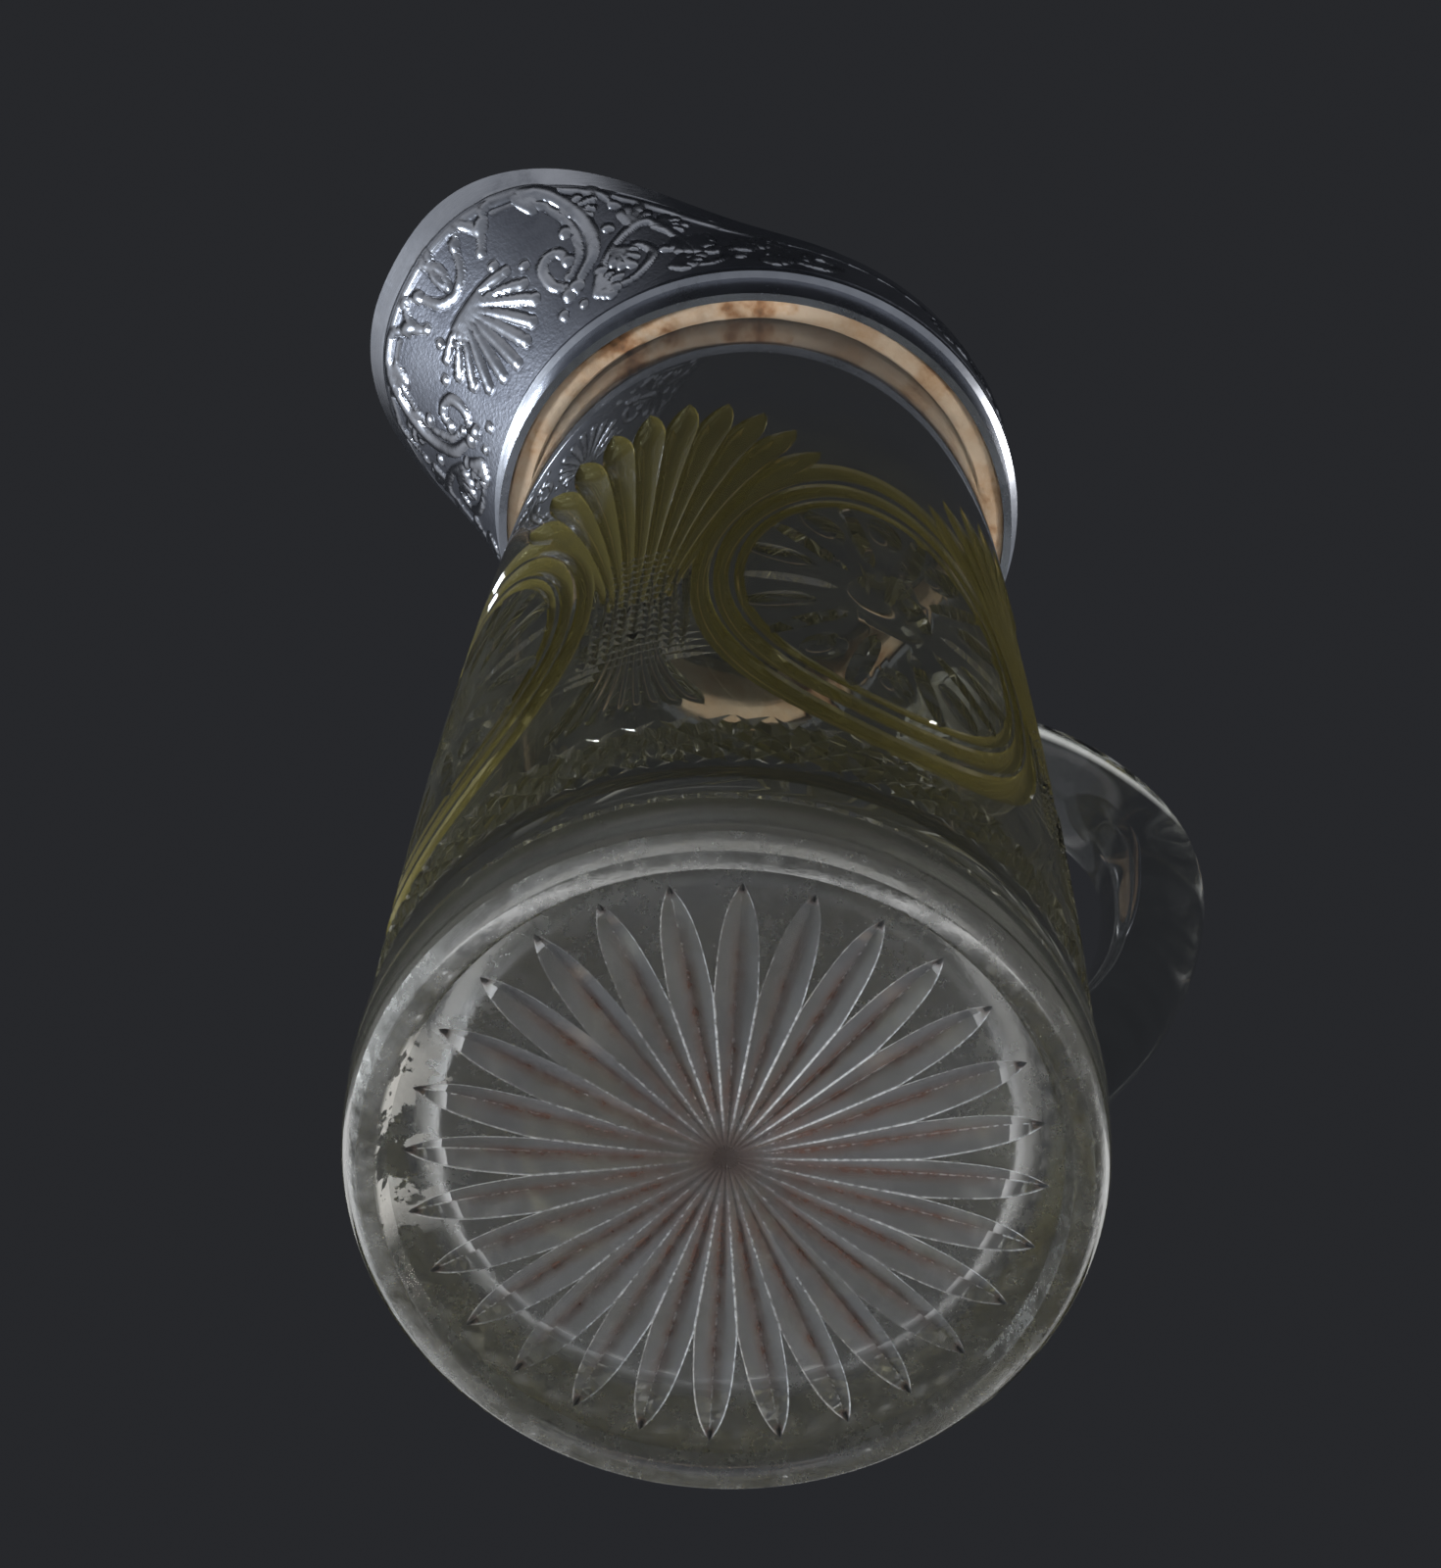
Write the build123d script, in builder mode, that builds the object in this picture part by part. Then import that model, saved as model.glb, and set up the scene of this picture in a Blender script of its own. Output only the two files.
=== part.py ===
from build123d import *
from math import cos, exp, radians, sin, sqrt, tan
import os

os.makedirs("parts", exist_ok=True)

# Cut crystal jug: a tapering glass body on a heavy foot with a star cut under it, fans and
# oval medallions cut round its wall, an applied glass handle, and a plated collar with a
# broad spout, bedded on plaster.
# Millimetres. The origin is the middle of the foot on the table, +Z is up, the handle
# points to +X and the spout to -X.

# Glass foot and body
foot_radius = 57.0
foot_ring_radius = 53.0
foot_ring_width = 2.8
foot_chamfer_height = 3.5
foot_band_height = 13.0
foot_height = 24.0
foot_line_depth = 0.7
body_bottom_radius = 55.9
body_middle_radius = 49.8
neck_radius = 39.8

# Glass inside
floor_height = 17.0
floor_corner = 5.4
foot_wall = 7.5
neck_wall = 3.8

# Star cut under the foot
star_points = 28
star_radius = 47.8
star_recess = 3.0
star_center_height = 8.0
star_half_angle = 62.0
star_flats = 3
star_wheel_margin = 0.8
star_hub_radius = 2.6
star_hub_depth = 0.6
star_turn = 1.4

# Cuts round the wall, in sectors with a medallion each and a fan between two medallions
sectors = 4
cut_lift = 3.0
point_lift = 0.15
fan_blades = 10
fan_spread = 62.1
fan_root_height = 92.0
fan_root_turn = 5.5
fan_center_height = 137.5
fan_reach_turn = 37.0
fan_reach_height = 43.8
blade_waist = (0.66, 0.78)
blade_half_width = 3.0
blade_depth = 1.2
medallion_height = 98.0
ring_turn = 34.4
ring_rise = 54.0
ring_sides = 16
ring_half_width = 2.4
ring_depth = 1.1
lens_radius = 55.0
lens_depth = 1.2

# Handle
handle_top_height = 171.0
handle_shoulder_height = 196.0
handle_bottom_height = 64.5
handle_reach = 77.5
handle_shoulder_radius = 18.0
handle_foot_radius = 70.0
handle_depth = 17.4
handle_width = 18.8
handle_corner = 5.0
handle_root = 4.0

# Collar
collar_bottom = 224.0
collar_bore_radius = 43.8
collar_wall = 1.4
band_height = 9.0
bead_width = 2.2
bead_wall = 1.1
bead_bevel = 0.6
rim_radius = 42.7
collar_back_height = 13.0
rim_rise_start = 30.0
spout_rise = 17.5
spout_slope = 0.12
spout_reach = 72.8
spout_half_angle = 43.6
spout_roundness = 2.8
outline_points = 24
outline_sections = 3
rim_wire_height = 2.4
rim_wire_wall = 0.8
plaster_recess = 0.6
ledge_wall = 1.2
ledge_gap = 0.5

# Heights and radii that follow from the sizes above
middle_height = (foot_height + collar_bottom) / 2
bead_height = collar_bottom + band_height
collar_radius = collar_bore_radius + collar_wall
glass_height = bead_height
bottom_bore_radius = body_bottom_radius - foot_wall
neck_bore_radius = neck_radius - neck_wall
floor_radius = bottom_bore_radius - floor_corner
rim_height = bead_height + collar_back_height
spout_height = rim_height + spout_rise


def jug_outside():
    """Half outline of the glass outside, from the underside up to the lip."""
    ring_inner = foot_ring_radius - foot_ring_width / 2
    ring_outer = foot_ring_radius + foot_ring_width / 2
    Polyline(
        (0, star_recess),
        (ring_inner - star_recess / 2, star_recess),
        (ring_inner, 0),
        (ring_outer, 0),
        (foot_radius, foot_chamfer_height),
        (foot_radius, foot_band_height - foot_line_depth),
        (foot_radius - foot_line_depth, foot_band_height),
        (foot_radius, foot_band_height + foot_line_depth),
        (body_bottom_radius, foot_height),
        (body_middle_radius, middle_height),
        (neck_radius, collar_bottom),
        (neck_radius, glass_height),
    )


# The glass outside as one solid, which the handle is fitted to
with BuildPart() as jug_form:
    with BuildSketch(Plane.XZ):
        with BuildLine():
            jug_outside()
            Polyline((neck_radius, glass_height), (0, glass_height), (0, star_recess))
        make_face()
    revolve(axis=Axis.Z)

# Star wheel: a bevelled edge that falls away in short flats, along an arc through two
# opposite star tips
star_rise = star_center_height - star_recess
wheel_radius = (star_radius**2 + star_rise**2) / (2 * star_rise)

wheel_depth = star_center_height + star_wheel_margin
wheel_half_width = wheel_depth * tan(radians(star_half_angle))

wheel_stops = []
for flat in range(-star_flats, star_flats + 1):
    spot = (star_radius + star_wheel_margin) * flat / star_flats
    fall = wheel_radius - sqrt(wheel_radius**2 - spot**2)
    wheel_stops.append((spot, 0, star_center_height - fall))

with BuildPart() as star_wheel:
    with BuildLine() as wheel_edge:
        Polyline(*wheel_stops)
    with BuildSketch(Plane(wheel_edge.line @ 0, x_dir=(0, 1, 0), z_dir=wheel_edge.line % 0)):
        with BuildLine():
            Polyline(
                (0, 0),
                (wheel_half_width, -wheel_depth),
                (-wheel_half_width, -wheel_depth),
                close=True,
            )
        make_face()
    sweep(path=wheel_edge.line, transition=Transition.RIGHT)


def wall_radius(height):
    """Radius of the outside wall at a height."""
    if height < middle_height:
        share = (height - foot_height) / (middle_height - foot_height)
        return body_bottom_radius + (body_middle_radius - body_bottom_radius) * share
    share = (height - middle_height) / (collar_bottom - middle_height)
    return body_middle_radius + (neck_radius - body_middle_radius) * share


def wall_point(turn, height, lift=0.0):
    """Point at an angle and a height on the outside wall, lifted out from it."""
    radius = wall_radius(height) + lift
    return Vector(radius * cos(radians(turn)), radius * sin(radians(turn)), height)


def mitre(spot, along, half_width, depth):
    """Triangular section of a cut through a spot of the wall, across the way it runs."""
    middle = wall_point(*spot)
    out = Vector(middle.X, middle.Y, 0).normalized()
    top = middle + out * cut_lift
    spread = along.cross(out).normalized() * half_width * (depth + cut_lift) / depth
    return Face(Wire.make_polygon([middle - out * depth, top + spread, top - spread]))


# Blade wheels: a fan is cut one blade at a time, because its blades meet at the root
fan_middle = 180 / sectors
last_blade = (fan_blades - 1) / 2
fan_wheels = []
for blade in range(fan_blades):
    place = (blade - last_blade) / last_blade
    lean = radians(fan_spread * place)
    root = (fan_middle + fan_root_turn * place, fan_root_height)
    tip = (fan_middle + fan_reach_turn * sin(lean), fan_center_height + fan_reach_height * cos(lean))
    waist = [a + (b - a) * share for a, b, share in zip(root, tip, blade_waist)]
    start = wall_point(*root, point_lift)
    end = wall_point(*tip, point_lift)
    with BuildPart() as fan_wheel:
        section = mitre(waist, end - start, blade_half_width, blade_depth)
        loft([Vertex(*start), section, Vertex(*end)], ruled=True)
    fan_wheels.append(fan_wheel.part)

# Ring wheel: the oval round a medallion, mitred from straight runs
ring_spots = []
for side in range(ring_sides):
    angle = radians(360 * side / ring_sides)
    ring_spots.append((ring_turn * cos(angle), medallion_height + ring_rise * sin(angle)))

ring_sections = []
for side in range(ring_sides):
    run = wall_point(*ring_spots[(side + 1) % ring_sides]) - wall_point(*ring_spots[side - 1])
    ring_sections.append(mitre(ring_spots[side], run, ring_half_width, ring_depth))

with BuildPart() as ring_wheel:
    for side in range(ring_sides):
        loft([ring_sections[side - 1], ring_sections[side]], ruled=True)

# Glass body: the outside, bored from the lip down, with the star cut from below and a
# lens, a ring and a fan cut in each sector of the wall
with BuildPart() as glass_body:
    add(jug_form.part)
    with BuildSketch(Plane.XZ):
        with BuildLine():
            Polyline(
                (0, glass_height),
                (neck_bore_radius, glass_height),
                (neck_bore_radius, collar_bottom),
                (bottom_bore_radius, foot_height),
                (floor_radius, floor_height),
                (0, floor_height),
                close=True,
            )
        make_face()
    revolve(axis=Axis.Z, mode=Mode.SUBTRACT)
    with PolarLocations(wall_radius(medallion_height) + lens_radius - lens_depth, sectors):
        with Locations((0, 0, medallion_height)):
            Sphere(lens_radius, rotation=(0, 0, 180), mode=Mode.SUBTRACT)
    with Locations((0, 0, star_center_height + star_hub_depth - star_hub_radius)):
        Sphere(star_hub_radius, mode=Mode.SUBTRACT)
    for ray in range(star_points // 2):
        with PolarLocations(0, 1, start_angle=star_turn + ray * 360 / star_points):
            add(star_wheel.part, mode=Mode.SUBTRACT)
    for fan_wheel in fan_wheels:
        with PolarLocations(0, sectors):
            add(fan_wheel, mode=Mode.SUBTRACT)
    with PolarLocations(0, sectors):
        add(ring_wheel.part, mode=Mode.SUBTRACT)

# Handle: one loop of glass, drawn from the shoulder of the body down to its foot
with BuildPart() as glass_handle:
    with BuildLine(Plane.XZ) as handle_path:
        FilletPolyline(
            (neck_radius - handle_root, handle_top_height),
            (handle_reach, handle_shoulder_height),
            (handle_reach, middle_height),
            (body_bottom_radius - handle_root, handle_bottom_height),
            radius=[handle_shoulder_radius, handle_foot_radius],
        )
    with BuildSketch(Plane(handle_path.line @ 0, z_dir=handle_path.line % 0)):
        Rectangle(handle_depth, handle_width)
        chamfer(vertices(), handle_corner)
    sweep(path=handle_path.line)
    add(jug_form.part, mode=Mode.SUBTRACT)

# Plaster bed between the neck and the collar
with BuildPart() as plaster_bed:
    with BuildSketch(Plane.XY.offset(collar_bottom + plaster_recess)):
        Circle(collar_bore_radius)
        Circle(neck_radius, mode=Mode.SUBTRACT)
    extrude(amount=band_height - plaster_recess)

# Plain band at the bottom of the collar
with BuildPart() as collar_band:
    with BuildSketch(Plane.XY.offset(collar_bottom)):
        Circle(collar_radius)
        Circle(collar_bore_radius, mode=Mode.SUBTRACT)
    extrude(amount=band_height)

# Bead wire soldered to the band, under the joint with the spout collar
with BuildPart() as bead_wire:
    with BuildSketch(Plane.XZ):
        with BuildLine():
            Polyline(
                (collar_radius, bead_height - bead_width),
                (collar_radius + bead_wall, bead_height - bead_width + bead_bevel),
                (collar_radius + bead_wall, bead_height - bead_bevel),
                (collar_radius, bead_height),
                close=True,
            )
        make_face()
    revolve(axis=Axis.Z)

# Ledge that covers the glass lip and the top of the plaster inside the collar
with BuildPart() as ledge_ring:
    with BuildSketch(Plane.XY.offset(glass_height)):
        Circle(collar_bore_radius - ledge_gap)
        Circle(neck_bore_radius, mode=Mode.SUBTRACT)
    extrude(amount=ledge_wall)


def spout_outline(height, growth):
    """Closed outline of the spout collar at a height, grown outward by growth.

    The back is round, and a bell-shaped lobe reaches out towards -X."""
    rise = (height - bead_height) / (spout_height - bead_height)
    back = rim_radius + (collar_radius - rim_radius) * abs(1 - rise) ** 3 + growth
    reach = collar_radius + (spout_reach - collar_radius) * rise + growth
    points = []
    for count in range(outline_points):
        turn = 360 * count / outline_points
        bell = exp(-((abs(turn - 180) / spout_half_angle) ** spout_roundness))
        radius = back + (reach - back) * bell
        points.append((radius * cos(radians(turn)), radius * sin(radians(turn))))
    Spline(*points, periodic=True)


def spout_sections(growth):
    """Sections of the spout collar, from its foot to just above the spout."""
    step = (spout_height + rim_wire_height - bead_height) / (outline_sections - 1)
    sections = []
    for count in range(outline_sections):
        with BuildSketch(Plane.XY.offset(bead_height + count * step)) as section:
            with BuildLine():
                spout_outline(bead_height + count * step, growth)
            make_face()
        sections.append(section.sketch)
    return sections


def above_rim(drop):
    """Side outline of all that lies above the rim, lowered by drop."""
    far = 2 * spout_reach
    top = 2 * spout_height
    rim = rim_height - drop
    lip = spout_height - drop
    Spline((rim_rise_start, rim), (-spout_reach, lip), tangents=((-1, 0), (-1, spout_slope)))
    Polyline((-spout_reach, lip), (-far, lip), (-far, top), (far, top), (far, rim), (rim_rise_start, rim))


# Spout collar: a lofted wall, open inside, cut along the rising rim
with BuildPart() as spout_collar:
    loft(sections=spout_sections(0), ruled=True)
    loft(sections=spout_sections(-collar_wall), ruled=True, mode=Mode.SUBTRACT)
    with BuildSketch(Plane.XZ):
        with BuildLine():
            above_rim(0)
        make_face()
    extrude(amount=2 * spout_reach, both=True, mode=Mode.SUBTRACT)

# Wire round the rim, on the outside of the spout collar
with BuildPart() as rim_wire:
    loft(sections=spout_sections(rim_wire_wall), ruled=True)
    loft(sections=spout_sections(0), ruled=True, mode=Mode.SUBTRACT)
    with BuildSketch(Plane.XZ):
        with BuildLine():
            above_rim(0)
        make_face()
    extrude(amount=2 * spout_reach, both=True, mode=Mode.SUBTRACT)
    with BuildSketch(Plane.XZ):
        with BuildLine():
            above_rim(rim_wire_height)
        make_face()
    extrude(amount=2 * spout_reach, both=True, mode=Mode.INTERSECT)

parts = {
    "glass_body": glass_body,
    "glass_handle": glass_handle,
    "plaster_bed": plaster_bed,
    "collar_band": collar_band,
    "bead_wire": bead_wire,
    "ledge_ring": ledge_ring,
    "spout_collar": spout_collar,
    "rim_wire": rim_wire,
}
for name, piece in parts.items():
    piece.part.label = name
    export_step(piece.part, "parts/" + name + ".step")
    print(name, round(piece.part.volume), piece.part.is_valid, len(piece.part.solids()))
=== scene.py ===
from math import atan2, cos, degrees, pi, radians, sin, sqrt, tan

import bpy
import numpy as np
from mathutils import Matrix, Vector


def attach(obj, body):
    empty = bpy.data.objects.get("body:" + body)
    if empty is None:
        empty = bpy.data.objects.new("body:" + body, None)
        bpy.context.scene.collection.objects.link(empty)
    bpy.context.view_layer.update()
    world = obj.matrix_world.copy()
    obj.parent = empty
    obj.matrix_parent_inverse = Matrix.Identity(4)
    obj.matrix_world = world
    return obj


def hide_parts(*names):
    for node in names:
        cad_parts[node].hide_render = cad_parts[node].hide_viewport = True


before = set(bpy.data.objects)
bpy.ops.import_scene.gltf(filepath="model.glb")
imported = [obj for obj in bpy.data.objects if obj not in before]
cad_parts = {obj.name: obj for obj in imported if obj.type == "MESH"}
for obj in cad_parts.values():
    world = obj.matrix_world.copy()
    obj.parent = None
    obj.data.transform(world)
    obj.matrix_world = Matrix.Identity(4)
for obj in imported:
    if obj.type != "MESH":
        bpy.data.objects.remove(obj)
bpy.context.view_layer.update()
mm = 0.001
print("frame loaded:", len(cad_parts), "nodes")


class Wire:
    # one output socket; sums and products of values add Math nodes
    def __init__(self, tree, socket):
        self.tree = tree
        self.socket = socket

    def math(self, operation, other=None, swapped=False):
        values = [self] if other is None else [self, other]
        if swapped:
            values.reverse()
        return addNode(self.tree, "ShaderNodeMath", {"operation": operation}, dict(enumerate(values)))

    def __add__(self, other):
        return self.math("ADD", other)

    def __radd__(self, other):
        return self.math("ADD", other, True)

    def __sub__(self, other):
        return self.math("SUBTRACT", other)

    def __rsub__(self, other):
        return self.math("SUBTRACT", other, True)

    def __mul__(self, other):
        return self.math("MULTIPLY", other)

    def __rmul__(self, other):
        return self.math("MULTIPLY", other, True)

    def __truediv__(self, other):
        return self.math("DIVIDE", other)

    def __pow__(self, other):
        return self.math("POWER", other)


def addNode(tree, kind, settings, inputs, output=0):
    # any node: its settings first, then the values or links of its sockets
    node = tree.nodes.new(kind)
    for name, value in settings.items():
        if name == "stops":
            ramp = node.color_ramp
            while len(ramp.elements) < len(value):
                ramp.elements.new(1)
            for element, (place, colour) in zip(ramp.elements, value):
                element.position = place
                element.color = (*colour, 1)
        else:
            setattr(node, name, value)
    for name, value in inputs.items():
        socket = node.inputs[name]
        if isinstance(value, Wire):
            tree.links.new(value.socket, socket)
        elif isinstance(value, tuple) and len(value) == 3 and socket.type == "RGBA":
            socket.default_value = (*value, 1)
        else:
            socket.default_value = value
    return Wire(tree, node.outputs[output]) if node.outputs else None


class Finish:
    # one material and the nodes that the finishes are mixed from; a noise is its scale, detail and
    # roughness, and a range is two values that come in and the two that they turn into
    def __init__(self, name):
        self.material = bpy.data.materials.new(name)
        self.material.use_nodes = True
        self.tree = self.material.node_tree
        self.tree.nodes.clear()
        self.place = self.add("ShaderNodeTexCoord", {}, {}, "Object")

    def add(self, kind, settings, inputs, output=0):
        return addNode(self.tree, kind, settings, inputs, output)

    def noise(self, scale, detail=3.0, roughness=0.55, vector=None):
        inputs = {"Vector": vector or self.place, "Scale": scale, "Detail": detail, "Roughness": roughness}
        return self.add("ShaderNodeTexNoise", {}, inputs, "Fac")

    def axes(self):
        parts = self.tree.nodes.new("ShaderNodeSeparateXYZ")
        self.tree.links.new(self.place.socket, parts.inputs[0])
        return [Wire(self.tree, output) for output in parts.outputs]

    def reach(self):
        # distance from the jug's axis
        x, y = self.axes()[:2]
        return (x * x + y * y) ** 0.5

    def stretched(self, scale):
        # object coordinates scaled apart along each axis, for streaks and scratches
        return self.add("ShaderNodeMapping", {}, {"Vector": self.place, "Scale": scale})

    def own(self, name):
        # a number that the piece's own mesh carries
        return self.add("ShaderNodeAttribute", {"attribute_name": name}, {}, "Fac")

    def colors(self, value, stops):
        return self.add("ShaderNodeValToRGB", {"stops": stops}, {"Fac": value}, "Color")

    def ramp(self, value, low, high, start=0.0, end=1.0):
        inputs = {"Value": value, "From Min": low, "From Max": high, "To Min": start, "To Max": end}
        return self.add("ShaderNodeMapRange", {"clamp": True}, inputs)

    def mix(self, amount, first, second):
        inputs = {0: amount, 6: first, 7: second}
        return self.add("ShaderNodeMix", {"data_type": "RGBA"}, inputs, 2)

    def mottled(self, value, color, low, high, factor):
        # a colour that darkens by a factor while the value climbs from low to high
        return self.mix(self.ramp(value, low, high), color, tuple(factor * part for part in color))

    def bump(self, height, distance, strength):
        inputs = {"Height": height, "Distance": distance, "Strength": strength}
        return self.add("ShaderNodeBump", {}, inputs)

    def surface(self, color, roughness, normal=None, more=None):
        inputs = {"Base Color": color, "Roughness": roughness, **(more or {})}
        if normal:
            inputs["Normal"] = normal
        return self.add("ShaderNodeBsdfPrincipled", {}, inputs)

    def glass(self, color, roughness, normal=None):
        return self.surface(color, roughness, normal, {"IOR": glassIndex, "Transmission Weight": 1.0})

    def blend(self, amount, first, second):
        return self.add("ShaderNodeMixShader", {}, {0: amount, 1: first, 2: second})

    def finish(self, shader):
        self.add("ShaderNodeOutputMaterial", {}, {"Surface": shader})
        return self.material


# The camera: below the jug, which it sees from under the foot
cameraSpot = {
    "aim": (-3.4 * mm, 1.5 * mm, 125.8 * mm),
    "azimuth": -114.6,
    "elevation": -62.6,
    "distance": 1121.9 * mm,
    "roll": 3.0,
    "lens": 157.5,
    "sensor": 36,
}


def onSphere(azimuth, elevation, distance):
    a, e = radians(azimuth), radians(elevation)
    return Vector((cos(a) * cos(e), sin(a) * cos(e), sin(e))) * distance


def placeCamera(spot):
    data = bpy.data.cameras.new("camera")
    data.lens = spot["lens"]
    data.sensor_width = spot["sensor"]
    camera = bpy.data.objects.new("camera", data)
    bpy.context.scene.collection.objects.link(camera)
    outward = onSphere(spot["azimuth"], spot["elevation"], 1)
    turn = (-outward).to_track_quat("-Z", "Y").to_matrix().to_4x4()
    camera.matrix_world = (
        Matrix.Translation(Vector(spot["aim"]) + outward * spot["distance"])
        @ turn
        @ Matrix.Rotation(radians(spot["roll"]), 4, "Z")
    )
    bpy.context.scene.camera = camera


placeCamera(cameraSpot)
print("camera placed")

# The studio: a world pale at the horizon and dark overhead, soft lamps, and a pale floor that is
# clear from below
studio = {
    "zenith": (0.020, 0.021, 0.024),
    "horizon": (0.62, 0.62, 0.63),
    "below": (0.36, 0.37, 0.39),
    "bands": ((0.0, "below"), (0.42, "below"), (0.49, "horizon"), (0.60, "horizon"), (0.70, "zenith")),
    "worldStrength": 1.0,
    "lampAim": (0, 0, 120 * mm),
    "floorColor": (0.78, 0.775, 0.765),
    "floorSpeckle": (0.3, 0.7, 0.97),
    "floorSpeckleScale": 60,
    "floorRoughness": 0.9,
    "floorRadius": 1.6,
}
lamps = {
    "key": {
        "azimuth": 152, "elevation": -16, "distance": 0.9, "size": (0.24, 0.14),
        "watts": 9, "color": (0.90, 0.95, 1.0), "inReflections": True,
    },
    "fill": {
        "azimuth": -18, "elevation": -30, "distance": 1.0, "size": (0.14, 0.20),
        "watts": 4, "color": (1.0, 0.97, 0.93), "inReflections": True,
    },
    "top": {
        "azimuth": 60, "elevation": 40, "distance": 1.2, "size": (1.0, 1.0),
        "watts": 14, "color": (1.0, 1.0, 1.0), "inReflections": False,
    },
}


def paintWorld(values):
    world = bpy.data.worlds.new("studioWorld")
    bpy.context.scene.world = world
    world.use_nodes = True
    tree = world.node_tree
    tree.nodes.clear()
    direction = addNode(tree, "ShaderNodeTexCoord", {}, {}, "Generated")
    height = addNode(tree, "ShaderNodeSeparateXYZ", {}, {"Vector": direction}, "Z")
    stops = [(place, values[band]) for place, band in values["bands"]]
    color = addNode(tree, "ShaderNodeValToRGB", {"stops": stops}, {"Fac": height * 0.5 + 0.5}, "Color")
    light = {"Color": color, "Strength": values["worldStrength"]}
    background = addNode(tree, "ShaderNodeBackground", {}, light)
    addNode(tree, "ShaderNodeOutputWorld", {}, {"Surface": background})


def hangLamp(name, spec, aim):
    data = bpy.data.lights.new(name, "AREA")
    data.shape = "RECTANGLE"
    data.size, data.size_y = spec["size"]
    data.energy = spec["watts"]
    data.color = spec["color"]
    lamp = bpy.data.objects.new(name, data)
    bpy.context.scene.collection.objects.link(lamp)
    lamp.location = aim + onSphere(spec["azimuth"], spec["elevation"], spec["distance"])
    lamp.rotation_mode = "QUATERNION"
    lamp.rotation_quaternion = (aim - lamp.location).to_track_quat("-Z", "Y")
    lamp.visible_camera = False
    lamp.visible_transmission = False
    lamp.visible_glossy = spec["inReflections"]


def layFloor(values):
    bpy.ops.mesh.primitive_circle_add(vertices=96, radius=values["floorRadius"], fill_type="NGON")
    floor = bpy.context.object
    floor.name = "floor"
    look = Finish("floorPaint")
    speckle = look.noise(values["floorSpeckleScale"])
    color = look.mottled(speckle, values["floorColor"], *values["floorSpeckle"])
    paint = look.surface(color, values["floorRoughness"])
    clear = look.add("ShaderNodeBsdfTransparent", {}, {})
    underside = look.add("ShaderNodeNewGeometry", {}, {}, "Backfacing")
    shadow = look.add("ShaderNodeLightPath", {}, {}, "Is Shadow Ray")
    glossy = look.add("ShaderNodeLightPath", {}, {}, "Is Glossy Ray")
    hidden = underside.math("MAXIMUM", shadow).math("MAXIMUM", glossy)
    floor.data.materials.append(look.finish(look.blend(hidden, paint, clear)))


paintWorld(studio)
for lampName, lampSpec in lamps.items():
    hangLamp(lampName, lampSpec, Vector(studio["lampAim"]))
layFloor(studio)
scene = bpy.context.scene
scene.view_settings.view_transform = "Standard"
scene.cycles.use_denoising = True
scene.cycles.max_bounces = 32
scene.cycles.glossy_bounces = 16
scene.cycles.transmission_bounces = 24
scene.cycles.transparent_max_bounces = 24
bpy.context.tool_settings.mesh_select_mode = (True, False, False)
print("studio set")

# Finishes of the glass: stained by age, ground and dirty under the foot
glassIndex = 1.52
stains = {
    "neckClear": (0.90, 0.91, 0.90),
    "wallOlive": (0.78, 0.77, 0.68),
    "footGrey": (0.86, 0.87, 0.85),
    "fanOlive": (0.58, 0.52, 0.16),
    "cutGrey": (0.80, 0.80, 0.72),
    "handleClear": (0.86, 0.88, 0.84),
    "fanHaze": (0.185, 0.152, 0.024),
    "wallHaze": (0.13, 0.128, 0.085),
    "starClear": (0.90, 0.90, 0.89),
    "starShade": (0.80, 0.80, 0.79),
    "frost": (0.50, 0.505, 0.52),
    "chippedAndGlint": (0.95, 0.96, 0.98),
    "floorClear": (0.90, 0.90, 0.88),
    "film": (0.36, 0.36, 0.355),
    "grimeAndShade": (0.07, 0.068, 0.05),
    "rust": (0.165, 0.080, 0.055),
    "hub": (0.05, 0.042, 0.040),
    "pit": (0.02, 0.02, 0.02),
    "chalk": (0.80, 0.80, 0.78),
}


def span(low, high, start=0.0, end=1.0):
    # a range that comes in as lengths, here in mm
    return low * mm, high * mm, start, end


def weighed(first, second, share):
    return first * (1 - share) + second * share


wallLook = {
    "tints": ((0.0, "footGrey"), (0.10, "footGrey"), (0.14, "wallOlive"), (0.66, "wallOlive"),
              (0.80, "neckClear")),
    "height": 233 * mm,
    "drift": 20 * mm,
    "driftScale": 35,
    "hazeScale": 90,
    "haze": (0.3, 0.75, 0.03, 0.13),
    "hazeOffStain": 0.25,
    "hazeRoughness": 0.85,
    "roughness": (0.45, 0.8, 0.0, 0.05),
    "stainStart": span(26, 40),
    "stainEnd": span(150, 182, 1, 0),
}


def wallGlass(name, values):
    # grey in the foot, olive and dull up to the shoulder of the fans, clear above them
    look = Finish(name)
    z = look.axes()[2]
    haze = look.noise(values["hazeScale"])
    drift = look.noise(values["driftScale"]) * values["drift"] - 0.5 * values["drift"]
    stops = [(share, stains[tint]) for share, tint in values["tints"]]
    color = look.colors((z + drift) / values["height"], stops)
    glass = look.glass(color, look.ramp(haze, *values["roughness"]))
    dull = look.surface(stains["wallHaze"], values["hazeRoughness"])
    stained = look.ramp(z, *values["stainStart"]) * look.ramp(z, *values["stainEnd"])
    cover = look.ramp(haze, *values["haze"]) * (stained + values["hazeOffStain"])
    return look.finish(look.blend(cover, glass, dull))


cutLook = {
    "cloudScale": 120,
    "wheel": (900, 2, 0.6),
    "wheelStretch": (1, 1, 0.15),
    "wheelBump": (0.02 * mm, 0.25),
    "shade": (0.35, 0.7, 0.82),
    "roughnessOver": (0.3, 0.8),
    "roughnessRise": 0.06,
    "dirtShade": (0.3, 0.7, 0.6),
    "dirtOver": (0.25, 0.75),
    "dirtLeast": 0.6,
    "dirtRoughness": 0.8,
}


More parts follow.
